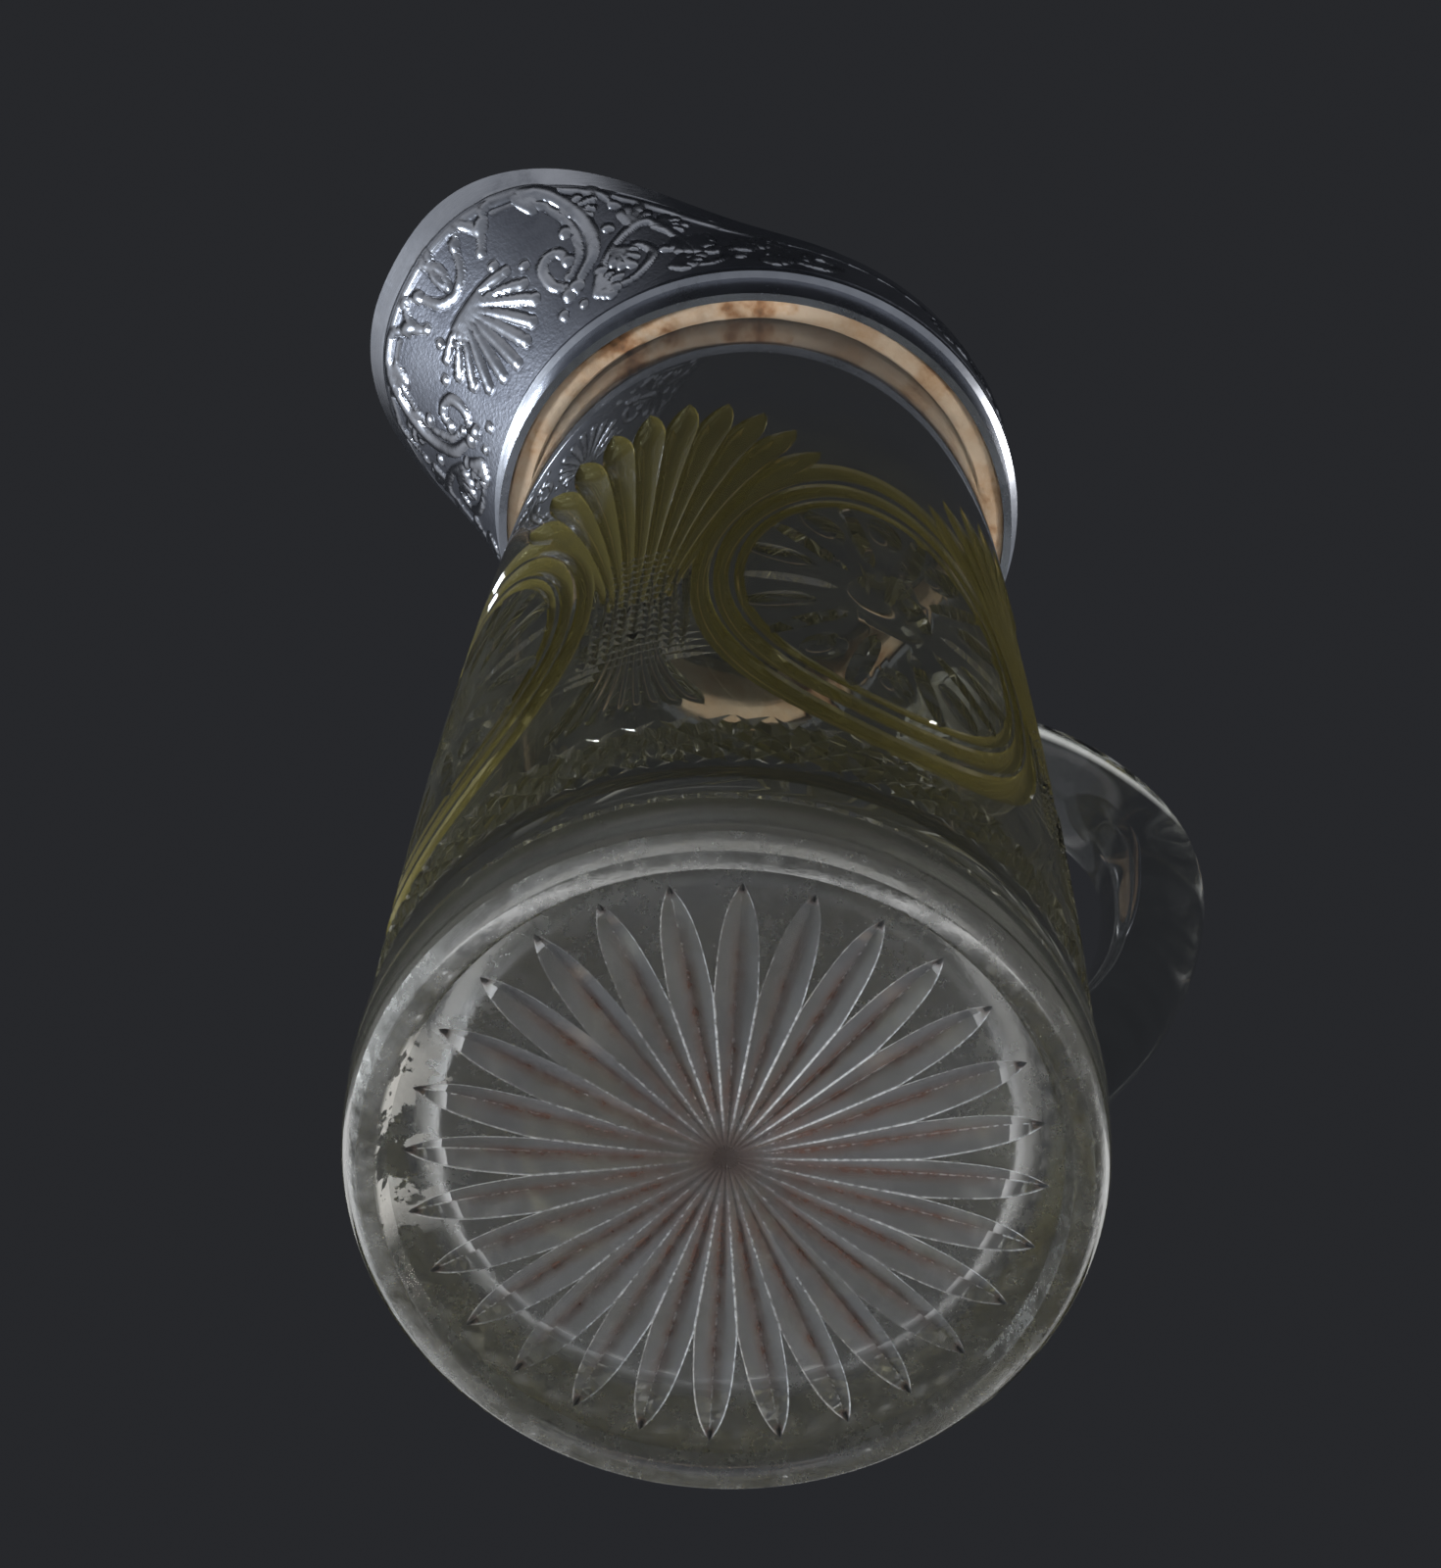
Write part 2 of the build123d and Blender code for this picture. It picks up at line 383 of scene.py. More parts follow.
def cutGlass(name, tint, values, roughness, dirt=None, amount=0.0):
    # a wheel cut, with the dirt that has settled in it; amount is the most that the dirt covers
    look = Finish(name)
    cloud = look.noise(values["cloudScale"])
    wheel = look.noise(*values["wheel"], look.stretched(values["wheelStretch"]))
    rough = look.ramp(cloud, *values["roughnessOver"], roughness, roughness + values["roughnessRise"])
    color = look.mottled(cloud, tint, *values["shade"])
    glass = look.glass(color, rough, look.bump(wheel, *values["wheelBump"]))
    if not dirt:
        return look.finish(glass)
    dull = look.surface(look.mottled(cloud, dirt, *values["dirtShade"]), values["dirtRoughness"])
    cover = look.ramp(cloud, *values["dirtOver"], values["dirtLeast"] * amount, amount)
    return look.finish(look.blend(cover, glass, dull))


starLook = {
    "grit": (420, 5, 0.7),
    "chips": (1100, 3, 0.7),
    "cloud": (70, 4, 0.6),
    "side": (26, 2, 0.5),
    "scratches": (((260, 3, 0.6), (1, 9, 1)), ((190, 3, 0.6), (8, 1, 1))),
    "scratchBump": (0.05 * mm, 0.4),
    "shade": (0.35, 0.7),
    "roughness": (0.2, 0.4, 0.02, 0.12),
    "dirtAside": span(0.25, 1.4, 1, 0),
    "dirtStart": span(3, 12),
    "dirtEnd": span(33, 43, 1, 0),
    "dirtPatches": (0.40, 0.60, 0.15, 0.80),
    "dirtCloud": 0.4,
    "dirtRoughness": 0.9,
    "hub": span(1.5, 7, 0.8, 0.0),
    "pitAside": span(0.3, 0.8, 1, 0),
    "pitStart": span(45.6, 46.4),
    "pitCover": 0.9,
    "wornStart": span(2.5, 8),
    "edgeAside": span(0.08, 0.34, 1, 0),
    "edgePatches": (0.42, 0.60, 0.1, 1.0),
    "edgeSide": 0.6,
    "edgeCover": 0.9,
    "bottomAside": span(0.06, 0.26, 1, 0),
    "bottomPatches": (0.50, 0.58),
    "bottomSide": 0.5,
    "bottomCover": 0.55,
    "frost": (0.3, 0.7, 0.05, 0.17),
    "frostEnd": span(38, 46, 1, 0.4),
    "frostRoughness": 0.45,
    "frostBump": (0.08 * mm, 0.5),
}


def starFinish(name, cuts, values):
    # ground grooves: frosted faces, bright edges that are partly chipped and partly a painted highlight,
    # rusty dirt in the bottoms, a dark pit at each tip
    look = Finish(name)
    x, y = look.axes()[:2]
    reach = look.reach()
    step = 2 * pi / cuts["points"]
    angle = y.math("ARCTAN2", x) / step - radians(cuts["turn"]) / step
    aside = angle.math("PINGPONG", 0.5) * step * reach
    out = (reach / (cuts["radius"] * mm)).math("MINIMUM", 1.0)
    leafWidth = cuts["depth"] * tan(radians(cuts["halfAngle"])) * mm
    leafHalf = (1 - out ** cuts["bluntness"]) ** cuts["tipPower"] * leafWidth
    border = (0.5 * step * reach).math("MINIMUM", leafHalf) - aside

    grit, chips, cloud, side = (look.noise(*values[mark]) for mark in ("grit", "chips", "cloud", "side"))
    across, along = (look.noise(*noise, look.stretched(scale)) for noise, scale in values["scratches"])
    scratch = across * along
    patches = look.ramp(weighed(grit, cloud, values["dirtCloud"]), *values["dirtPatches"])
    dirtLine = look.ramp(reach, *values["dirtStart"]) * look.ramp(reach, *values["dirtEnd"])
    dirt = look.ramp(aside, *values["dirtAside"]) * dirtLine * patches
    hub = look.ramp(reach, *values["hub"])
    pit = look.ramp(aside, *values["pitAside"]) * look.ramp(reach, *values["pitStart"])
    worn = look.ramp(reach, *values["wornStart"])
    patches = look.ramp(weighed(chips, side, values["edgeSide"]), *values["edgePatches"])
    # painted highlight: the groove edges are whitened as glints, partly also chipped wear
    edge = look.ramp(border, *values["edgeAside"]) * worn * patches
    patches = look.ramp(weighed(chips, side, values["bottomSide"]), *values["bottomPatches"])
    bottom = look.ramp(aside, *values["bottomAside"]) * worn * patches
    frost = look.ramp(cloud, *values["frost"]) * look.ramp(reach, *values["frostEnd"])

    color = look.mix(look.ramp(grit, *values["shade"]), stains["starClear"], stains["starShade"])
    rough = look.ramp(scratch, *values["roughness"])
    glass = look.glass(color, rough, look.bump(scratch, *values["scratchBump"]))
    # the near-white on the edges is partly chipped glass and partly a painted glint
    color = look.mix(edge.math("MAXIMUM", bottom), stains["frost"], stains["chippedAndGlint"])
    ground = look.surface(color, values["frostRoughness"], look.bump(chips, *values["frostBump"]))
    frosted = frost.math("MAXIMUM", edge * values["edgeCover"])
    frosted = frosted.math("MAXIMUM", bottom * values["bottomCover"])
    soil = look.mix(pit, look.mix(hub, stains["rust"], stains["hub"]), stains["pit"])
    caked = look.surface(soil, values["dirtRoughness"])
    soiled = dirt.math("MAXIMUM", pit * values["pitCover"]).math("MAXIMUM", hub)
    return look.finish(look.blend(soiled, look.blend(frosted, glass, ground), caked))


filmLook = {
    "cloud": (75, 6, 0.65),
    "speck": (650, 4, 0.7),
    "broad": (24, 3, 0.5),
    "speckShare": 0.4,
    "patches": (0.35, 0.62, 0.08, 0.34),
    "thinning": (0.36, 0.60, 0.45, 1.1),
    "edge": span(41.8, 42.8, 0, 0.10),
    "floorEnd": span(43.1, 44.6, 1, 0),
    "corner": (0.3, 0.7, 0.55, 0.85),
    "shade": (0.35, 0.7, 0.72),
    "roughness": 0.8,
    "glassRoughness": 0.15,
}


def filmFinish(name, values):
    # the chalky film that drink has left on the floor inside, and a dark coat in the corner round it that is
    # partly grime and partly painted shade
    look = Finish(name)
    reach = look.reach()
    cloud, speck, broad = (look.noise(*values[mark]) for mark in ("cloud", "speck", "broad"))
    onFloor = look.ramp(reach, *values["floorEnd"])
    patches = look.ramp(weighed(cloud, speck, values["speckShare"]), *values["patches"])
    cover = patches * look.ramp(broad, *values["thinning"]) + look.ramp(reach, *values["edge"])
    corner = look.ramp(cloud, *values["corner"])
    # past the film the corner gets a dark coat, partly grime and partly painted shade
    color = look.mix(onFloor, stains["grimeAndShade"], look.mottled(cloud, stains["film"], *values["shade"]))
    chalk = look.surface(color, values["roughness"])
    glass = look.glass(stains["floorClear"], values["glassRoughness"])
    return look.finish(look.blend(cover * onFloor + (1 - onFloor) * corner, glass, chalk))


wornLook = {
    "chips": (230, 6, 0.7),
    "cloud": (45, 4, 0.6),
    "flakes": (150, 5, 0.62),
    "ringInner": span(51.2, 52.0),
    "residueTurn": 160.0,
    "residue": (0.485, 0.505),
    "residueSide": (0.925, 0.965),
    "residueStart": span(42, 44),
    "residueEnd": span(51.2, 52.0, 1, 0),
    "residueCover": 0.95,
    "fleck": (0.66, 0.69),
    "fleckSide": (0.2, 1.0, 0, 0.05),
    "fleckCover": 0.8,
    "frost": (0.42, 0.62, 0.03, 0.26),
    "frostCloud": 0.45,
    "frostSide": (-0.6, 0.7, 0.10, 1.0),
    "frostInside": 0.03,
    "shade": (0.4, 0.65, 0.8),
    "chalkRoughness": 0.7,
    "chalkBump": (0.3 * mm, 0.6),
    "roughness": (0.4, 0.7, 0.08, 0.45),
    "bump": (0.3 * mm, 0.5),
}


def wornFinish(name, values):
    # the ring that the jug stands on and the flat inside it: frosted, scratched, with residue on one side
    look = Finish(name)
    x, y = look.axes()[:2]
    reach = look.reach()
    turn = radians(values["residueTurn"])
    side = (x * cos(turn) + y * sin(turn)) / reach
    chips, cloud, flakes = (look.noise(*values[mark]) for mark in ("chips", "cloud", "flakes"))
    onRing = look.ramp(reach, *values["ringInner"])
    inside = look.ramp(reach, *values["residueStart"]) * look.ramp(reach, *values["residueEnd"])
    residue = look.ramp(flakes, *values["residue"]) * look.ramp(side, *values["residueSide"]) * inside
    fleck = look.ramp(chips + look.ramp(side, *values["fleckSide"]), *values["fleck"]) * onRing
    sides = onRing * look.ramp(side, *values["frostSide"]) + values["frostInside"]
    frost = look.ramp(weighed(chips, cloud, values["frostCloud"]), *values["frost"]) * sides
    color = look.mottled(chips, stains["chalk"], *values["shade"])
    chalk = look.surface(color, values["chalkRoughness"], look.bump(chips, *values["chalkBump"]))
    rough = look.ramp(chips, *values["roughness"])
    glass = look.glass(stains["floorClear"], rough, look.bump(chips, *values["bump"]))
    residue, fleck = residue * values["residueCover"], fleck * values["fleckCover"]
    return look.finish(look.blend(frost.math("MAXIMUM", residue).math("MAXIMUM", fleck), glass, chalk))


# Finishes of the collar: silver plate, dark in the hollows with tarnish and painted shade, and the plaster
# that beds it
silver = {
    "bright": (0.38, 0.40, 0.445),
    "worn": (0.23, 0.245, 0.28),
    "ground": (0.115, 0.123, 0.147),
    "tarnishAndShade": (0.030, 0.030, 0.036),
    "cloud": (55, 4, 0.6),
    "specks": (600, 3, 0.7),
    "scratch": (300, 2, 0.6),
    "scratchStretch": (1, 1, 14),
    "scratchHeight": 0.2,
    "bump": (0.12 * mm, 0.5),
    "wear": (0.35, 0.7),
    "tarnished": (0.52, 0.68, 0.0, 0.6),
    "specksShare": 0.3,
    "roughness": (0.0, 1.3, 0.20, 0.5),
    "raised": (0.10, 0.45, 1, 0),
    "groundCover": (0.2, 0.6, 0.75, 1.0),
    "groundDots": (1500, 2, 0.5),
    "dotHeight": 1.2,
    "speckHeight": 0.8,
    "groundRoughness": 0.20,
    "raisedTarnish": 0.6,
    "shadeCover": (0.3, 0.7, 0.95, 0.6),
}


def silverFinish(name, values, raised=False):
    # a raised pattern gives its height and the shade beside it as attributes "relief" and "shade"
    look = Finish(name)
    cloud, specks = (look.noise(*values[mark]) for mark in ("cloud", "specks"))
    scratch = look.noise(*values["scratch"], look.stretched(values["scratchStretch"]))
    plain = look.mix(look.ramp(cloud, *values["wear"]), values["bright"], values["worn"])
    hidden = look.ramp(weighed(cloud, specks, values["specksShare"]), *values["tarnished"])
    height = scratch * values["scratchHeight"]
    rough = look.ramp(hidden + specks * values["specksShare"], *values["roughness"])
    if raised:
        matte = look.ramp(look.own("relief"), *values["raised"])
        dots = look.noise(*values["groundDots"])
        plain = look.mix(matte * look.ramp(cloud, *values["groundCover"]), plain, values["ground"])
        # painted shade: a dark ring on the ground beside each raised form, drawn in the tarnish colour
        shade = look.own("shade") * look.ramp(cloud, *values["shadeCover"])
        hidden = (hidden * values["raisedTarnish"]).math("MAXIMUM", shade)
        height = height + (dots * values["dotHeight"] + specks * values["speckHeight"]) * matte
        rough = rough + matte * values["groundRoughness"]
    color = look.mix(hidden, plain, values["tarnishAndShade"])
    return look.finish(look.surface(color, rough, look.bump(height, *values["bump"]), {"Metallic": 1.0}))


plasterLook = {
    "tones": ((0.26, (0.68, 0.53, 0.39)), (0.44, (0.60, 0.40, 0.25)), (0.60, (0.38, 0.19, 0.09)),
              (0.78, (0.09, 0.05, 0.03))),
    "cloud": (110, 5, 0.65),
    "grain": (900, 4, 0.7),
    "spots": (60, 4, 0.75),
    "cloudTone": (0.3, 0.75),
    "spotTone": (0.5, 0.78),
    "spotShare": 0.55,
    "toneStart": 0.12,
    "roughness": (0.2, 0.8, 0.78, 0.98),
    "grainHeight": 0.5,
    "bump": (0.4 * mm, 0.5),
}


def plasterFinish(name, values):
    # cream plaster with brown spots
    look = Finish(name)
    cloud, grain, spots = (look.noise(*values[mark]) for mark in ("cloud", "grain", "spots"))
    clouded, spotted = look.ramp(cloud, *values["cloudTone"]), look.ramp(spots, *values["spotTone"])
    tone = weighed(clouded, spotted, values["spotShare"]) + values["toneStart"]
    rough = look.ramp(grain, *values["roughness"])
    relief = look.bump(grain * values["grainHeight"] + cloud, *values["bump"])
    return look.finish(look.surface(look.colors(tone, values["tones"]), rough, relief))


# The glass body: a turned blank, then cut with wheels as a glass cutter would. Outlines and rows
# hold (radius, height) in mm, and places on the wall (degrees round it, height in mm)
jug = {
    "steps": 224,
    "starPlate": 3.0,
    "foot": (
        (0, 3.0), (50.0, 3.0), (51.5, 0.12), (51.8, 0), (54.2, 0), (54.5, 0.12), (56.1, 3.2), (56.65, 3.8),
        (57.0, 4.8), (57.0, 11.8), (56.88, 12.3), (56.3, 13.0), (56.88, 13.7), (57.0, 14.2), (56.95, 16.2),
        (56.7, 19.2), (56.3, 22.0),
    ),
    "outside": ((55.9, 24.0), (49.8, 124.0), (39.8, 224.0)),
    "lip": ((39.75, 233.0), (36.0, 233.0)),
    "inside": ((48.4, 24.0), (42.6, 124.0), (36.0, 224.0)),
    "floor": (43.0, 17.0),
    "floorCorner": 24.0,
    "cornerRows": 6,
    "rowHeight": 7.0,
    "filmBand": (16.95, 21.0),
    "filmRadius": 48.1,
    "wornTop": 3.1,
    "creaseAngle": 26,
}
star = {
    "points": 28,
    "turn": 1.4,
    "radius": 47.8,
    "depth": 1.75,
    "halfAngle": 62.0,
    "bluntness": 9.0,
    "tipPower": 0.9,
    "hubHeight": 6.2,
    "hubReach": 0.45,
    "overrun": 1.02,
    "runOut": 0.25,
    "above": 1.0,
    "cuts": 61,
}
sectors = 4
pattern = {
    "fanTurn": 45.0,
    "fan": {"blades": 10, "root": (5.5, 92.0), "center": 137.5, "reach": (37.0, 43.8), "step": 13.8,
            "width": (0.6, 3.05), "depth": (0.5, 1.2), "lean": 0.28, "climb": 0.62},
    "flare": {"blades": 8, "root": (1.1, 76.0), "tip": (3.8, 46.5),
              "width": (0.7, 1.9), "depth": (0.5, 1.05), "lean": 0.1, "climb": 0.5},
    "rings": [{"size": (34.4, 54.0), "width": (1.5, 3.4), "depth": 1.15},
              {"size": (30.6, 45.6), "width": (1.2, 2.7), "depth": 0.95},
              {"size": (27.4, 39.6), "width": (0.8, 1.4), "depth": 0.7}],
    "medallionHeight": 98.0,
    "lens": {"size": (7.6, 11.0), "depth": 1.2, "segments": 40},
    "ovals": {"count": 10, "reach": (21.5, 31.0), "size": (3.3, 6.6), "depth": 0.95, "flatness": 0.87,
              "segments": 20},
    "rays": {"count": 10, "from": 0.36, "to": 1.02, "width": 1.7, "depth": 1.0, "cuts": 10},
    "waist": {"low": 66.0, "high": 112.0, "rows": 17, "columns": 9, "spread": 8.6, "oval": (36.4, 57.0),
              "width": 1.15, "depth": 0.7, "cuts": 8},
    "diamonds": {"count": 60, "low": 25.5, "high": 42.5, "width": 1.75, "depth": 1.0, "cuts": 6},
}
cutter = {
    "lift": 1.2,
    "overhang": 1.04,
    "brim": 0.06,
    "leastDepth": 0.3,
    "hollowSides": 9,
    "bladeCuts": 22,
    "bladeWidest": 0.8,
    "bladeTip": (0.8, 0.004),
    "pointPower": 0.6,
    "pointTip": 0.002,
    "ringSegments": 64,
    "ringSwell": 1.5,
    "ballRings": 10,
    "ballRise": 0.55,
}


def circleThrough(first, middle, last):
    # centre and radius of the circle through three points
    (x1, z1), (x2, z2), (x3, z3) = first, middle, last
    a, b, c = x1 * x1 + z1 * z1, x2 * x2 + z2 * z2, x3 * x3 + z3 * z3
    d = 2 * (x1 * (z2 - z3) + x2 * (z3 - z1) + x3 * (z1 - z2))
    centerX = (a * (z2 - z3) + b * (z3 - z1) + c * (z1 - z2)) / d
    centerZ = (a * (x3 - x2) + b * (x1 - x3) + c * (x2 - x1)) / d
    return centerX, centerZ, sqrt((x1 - centerX) ** 2 + (z1 - centerZ) ** 2)


def radiusAt(points, height):
    centerX, centerZ, radius = circleThrough(*points)
    return centerX + sqrt(radius**2 - (height - centerZ) ** 2)


def wallRows(points, rowHeight):
    # rows up a curved wall, its ends included
    low, high = points[0][1], points[2][1]
    count = round((high - low) / rowHeight)
    heights = [low + (high - low) * row / count for row in range(count + 1)]
    return [(radiusAt(points, height), height) for height in heights]


def cornerRows(start, end, radius, count):
    # rows of a round corner that bulges away from the axis, from start down to end
    (x1, z1), (x2, z2) = start, end
    halfX, halfZ = (x2 - x1) / 2, (z2 - z1) / 2
    length = sqrt(halfX**2 + halfZ**2)
    rise = sqrt(radius**2 - length**2)
    centerX, centerZ = x1 + halfX + rise * halfZ / length, z1 + halfZ - rise * halfX / length
    first, last = atan2(z1 - centerZ, x1 - centerX), atan2(z2 - centerZ, x2 - centerX)
    angles = [first + (last - first) * row / count for row in range(1, count)]
    return [(centerX + radius * cos(angle), centerZ + radius * sin(angle)) for angle in angles]


def bodyOutline(sizes):
    outside = wallRows(sizes["outside"], sizes["rowHeight"])
    inside = wallRows(sizes["inside"], sizes["rowHeight"])[::-1]
    corner = cornerRows(sizes["inside"][0], sizes["floor"], sizes["floorCorner"], sizes["cornerRows"])
    floor = [sizes["floor"], (0, sizes["floor"][1])]
    return [*sizes["foot"], *outside, *sizes["lip"], *inside, *corner, *floor]


def turnOnLathe(name, outline, steps):
    # an outline drawn out point by point and spun about the axis
    bpy.ops.mesh.primitive_plane_add()
    piece = bpy.context.object
    piece.name = name
    bpy.ops.object.mode_set(mode="EDIT")
    bpy.ops.mesh.merge(type="CENTER")
    bpy.ops.transform.translate(value=(outline[0][0] * mm, 0, outline[0][1] * mm))
    for start, end in zip(outline, outline[1:]):
        step = ((end[0] - start[0]) * mm, 0, (end[1] - start[1]) * mm)
        bpy.ops.mesh.extrude_vertices_move(TRANSFORM_OT_translate={"value": step})
    bpy.ops.mesh.select_all(action="SELECT")
    bpy.ops.mesh.spin(steps=steps, angle=2 * pi, center=(0, 0, 0), axis=(0, 0, 1))
    bpy.ops.mesh.select_all(action="SELECT")
    bpy.ops.mesh.remove_doubles(threshold=0.001 * mm)
    bpy.ops.mesh.normals_make_consistent(inside=False)
    bpy.ops.object.mode_set(mode="OBJECT")
    return piece


def pick(piece):
    bpy.ops.object.select_all(action="DESELECT")
    piece.select_set(True)
    bpy.context.view_layer.objects.active = piece


def splitAlong(piece, cuts):
    # cuts the edges that run along a new cylinder, so that it has rings all the way
    mesh = piece.data
    bpy.ops.object.mode_set(mode="EDIT")
    bpy.ops.mesh.select_mode(type="EDGE")
    bpy.ops.mesh.select_all(action="DESELECT")
    bpy.ops.object.mode_set(mode="OBJECT")
    for edge in mesh.edges:
        low, high = (mesh.vertices[corner].co.z for corner in edge.vertices)
        edge.select = abs(high - low) > 0.5
    bpy.ops.object.mode_set(mode="EDIT")
    bpy.ops.mesh.subdivide(number_cuts=cuts)
    bpy.ops.mesh.select_mode(type="VERT")
    bpy.ops.object.mode_set(mode="OBJECT")


def rod(name, sides, cuts, placed):
    # a cylinder cut into rings along its length; placed(share, side) gives each corner in mm
    bpy.ops.mesh.primitive_cylinder_add(vertices=sides, radius=1, depth=1)
    piece = bpy.context.object
    piece.name = name
    splitAlong(piece, cuts)
    for corner in piece.data.vertices:
        side = round(atan2(corner.co.x, corner.co.y) / (2 * pi) * sides) % sides
        corner.co = Vector(placed(corner.co.z + 0.5, side)) * mm
    return recalculated(piece)


def recalculated(piece):
    # faces turned outward
    pick(piece)
    bpy.ops.object.mode_set(mode="EDIT")
    bpy.ops.mesh.select_all(action="SELECT")
    bpy.ops.mesh.normals_make_consistent(inside=False)
    bpy.ops.object.mode_set(mode="OBJECT")
    return piece


def onWall(azimuth, height, across, outward):
    # a point of the wall in mm: degrees round it, height, shift along it (round, up), and out from it
    z = height + across[1]
    radius = radiusAt(jug["outside"], z)
    angle = radians(azimuth) + across[0] / radius
    return (radius + outward) * cos(angle), (radius + outward) * sin(angle), z


def besideRun(spot, runX, runZ, section):
    # a point of a section that stands across a run over the wall
    across, outward = section
    length = sqrt(runX**2 + runZ**2)
    return onWall(*spot, (across * runZ / length, -across * runX / length), outward)


def mitreSection(side, half, depth):
    # three corners: the bottom edge, then two above the wall
    if side == 0:
        return 0, -depth
    lift = cutter["lift"]
    return (1 if side == 1 else -1) * half * (depth + lift) / max(depth, cutter["leastDepth"]), lift


def hollowSection(side, sides, half, depth):
    # corners that run over the hollow, and last the two that close it above the wall
    low = sides - 2
    if side >= low:
        return (1 if side == low else -1) * half * cutter["overhang"], cutter["lift"]
    turn = pi * (side / (low - 1) - 0.5)
    return half * sin(turn), cutter["brim"] - (depth + cutter["brim"]) * cos(turn)


def groove(name, spine, cuts, width, depth, sides=3):
    # a cutter along spine(share), half as wide as width(share); 3 sides cut a mitre, more a hollow
    def placed(share, side):
        before, after = spine(share - 0.01), spine(share + 0.01)
        scale = radians(radiusAt(jug["outside"], spine(share)[1]))
        size = width(share), depth(share)
        section = mitreSection(side, *size) if sides == 3 else hollowSection(side, sides, *size)
        return besideRun(spine(share), (after[0] - before[0]) * scale, after[1] - before[1], section)

    return rod(name, sides, cuts, placed)


def ringGroove(name, center, spec):
    # a closed oval hollow round a medallion, from a torus whose sections are laid on the wall
    size, sides = spec["size"], cutter["hollowSides"]
    bpy.ops.mesh.primitive_torus_add(
        major_segments=cutter["ringSegments"], minor_segments=sides, major_radius=1, minor_radius=0.25
    )
    piece = bpy.context.object
    piece.name = name
    scale = radians(radiusAt(jug["outside"], center[1]))
    for corner in piece.data.vertices:
        turn = atan2(corner.co.y, corner.co.x)
        reach = sqrt(corner.co.x**2 + corner.co.y**2) - 1
        side = round(atan2(corner.co.z, reach) / (2 * pi) * sides) % sides
        half = between(*spec["width"], abs(sin(turn)) ** cutter["ringSwell"])
        section = hollowSection(side, sides, half, spec["depth"])
        spot = (center[0] + size[0] * cos(turn), center[1] + size[1] * sin(turn))
        runX, runZ = -size[0] * scale * sin(turn), size[1] * cos(turn)
        corner.co = Vector(besideRun(spot, runX, runZ, section)) * mm
    return recalculated(piece)


def hollow(name, center, spec, turn=0.0):
    # a shallow oval hollow: a flattened ball laid on the wall; its size is half its width and height in mm
    bpy.ops.mesh.primitive_uv_sphere_add(segments=spec["segments"], ring_count=cutter["ballRings"], radius=1)
    piece = bpy.context.object
    piece.name = name
    rise = cutter["ballRise"]
    grow = 1 / sqrt(1 - rise**2)
    for corner in piece.data.vertices:
        x, y = corner.co.x * grow * spec["size"][0], corner.co.y * grow * spec["size"][1]
        outward = (corner.co.z + rise) * spec["depth"] / (1 - rise)
        across = (x * cos(turn) - y * sin(turn), x * sin(turn) + y * cos(turn))
        corner.co = Vector(onWall(*center, across, outward)) * mm
    return recalculated(piece)


def joined(pieces):
    bpy.ops.object.select_all(action="DESELECT")
    for piece in pieces:
        piece.select_set(True)
    bpy.context.view_layer.objects.active = pieces[0]
    if len(pieces) > 1:
        bpy.ops.object.join()
    return pieces[0]


def copied(piece, turn):
    copy = piece.copy()
    copy.data = piece.data.copy()
    copy.data.transform(Matrix.Rotation(turn, 4, "Z"))
    bpy.context.scene.collection.objects.link(copy)
    return copy


def allRound(piece, count):
    return joined([piece] + [copied(piece, 2 * pi * turn / count) for turn in range(1, count)])


def cut(piece, tool, slot):
    # takes the tool away from the piece; the new faces get the given material slot
    while len(tool.data.materials) < len(piece.data.materials):
        tool.data.materials.append(piece.data.materials[len(tool.data.materials)])
    for face in tool.data.polygons:
        face.material_index = slot
    pick(piece)
    wheel = piece.modifiers.new("wheel", "BOOLEAN")
    wheel.object = tool
    wheel.solver = "MANIFOLD"
    bpy.ops.object.modifier_apply(modifier=wheel.name)
    bpy.data.objects.remove(tool)


def starDepth(out, values):
    # depth of a groove at a share of the star's radius: even, blunt at the tip, deeper towards the hub
    tip = values["depth"] * max(1 - abs(out) ** values["bluntness"], 0) ** values["tipPower"]
    hub = values["hubHeight"] - jug["starPlate"] - values["depth"]
    return tip + hub * max(1 - abs(out) / values["hubReach"], 0) ** 2


def cutStar(piece, values, slot):
    # each pass of the wheel runs from a tip through the middle to the opposite tip
    deep = values["hubHeight"] + values["above"]
    half = deep * tan(radians(values["halfAngle"]))

    def placed(share, side):
        out = values["overrun"] * sin(pi * (share - 0.5))
        past = (abs(out) - 1) * values["radius"]
        top = jug["starPlate"] + (starDepth(out, values) if past < 0 else -values["runOut"] * past)
        x = out * values["radius"]
        return (x, 0, top) if side == 0 else (x, half if side == 1 else -half, top - deep)

    wheel = rod("starWheel", 3, values["cuts"], placed)
    for ray in range(values["points"] // 2):
        turn = radians(values["turn"] + ray * 360 / values["points"])
        cut(piece, copied(wheel, turn), slot)
    bpy.data.objects.remove(wheel)


def between(low, high, share):
    return low + (high - low) * share


def straight(start, end):
    return lambda share: tuple(between(a, b, share) for a, b in zip(start, end))


def bent(start, middle, end):
    # a curve that leaves start towards middle and comes to end from it
    def spine(share):
        first, second, third = (1 - share) ** 2, 2 * share * (1 - share), share**2
        return tuple(first * a + second * b + third * c for a, b, c in zip(start, middle, end))

    return spine


def pointed(size):
    # a width or depth that falls to nothing at both ends
    def at(share):
        full = 1 - abs(2 * min(max(share, 0), 1) - 1) ** 3
        return size * max(full, cutter["pointTip"]) ** cutter["pointPower"]

    return at


def leafShaped(size):
    # a width or depth that grows from the root to the widest place, then rounds off to the tip
    widest = cutter["bladeWidest"]
    power, least = cutter["bladeTip"]

    def at(share):
        if share < widest:
            return between(*size, max(share, 0.0) / widest)
        past = (min(share, 1.0) - widest) / (1 - widest)
        return size[1] * max(1 - past**2, least) ** power

    return at


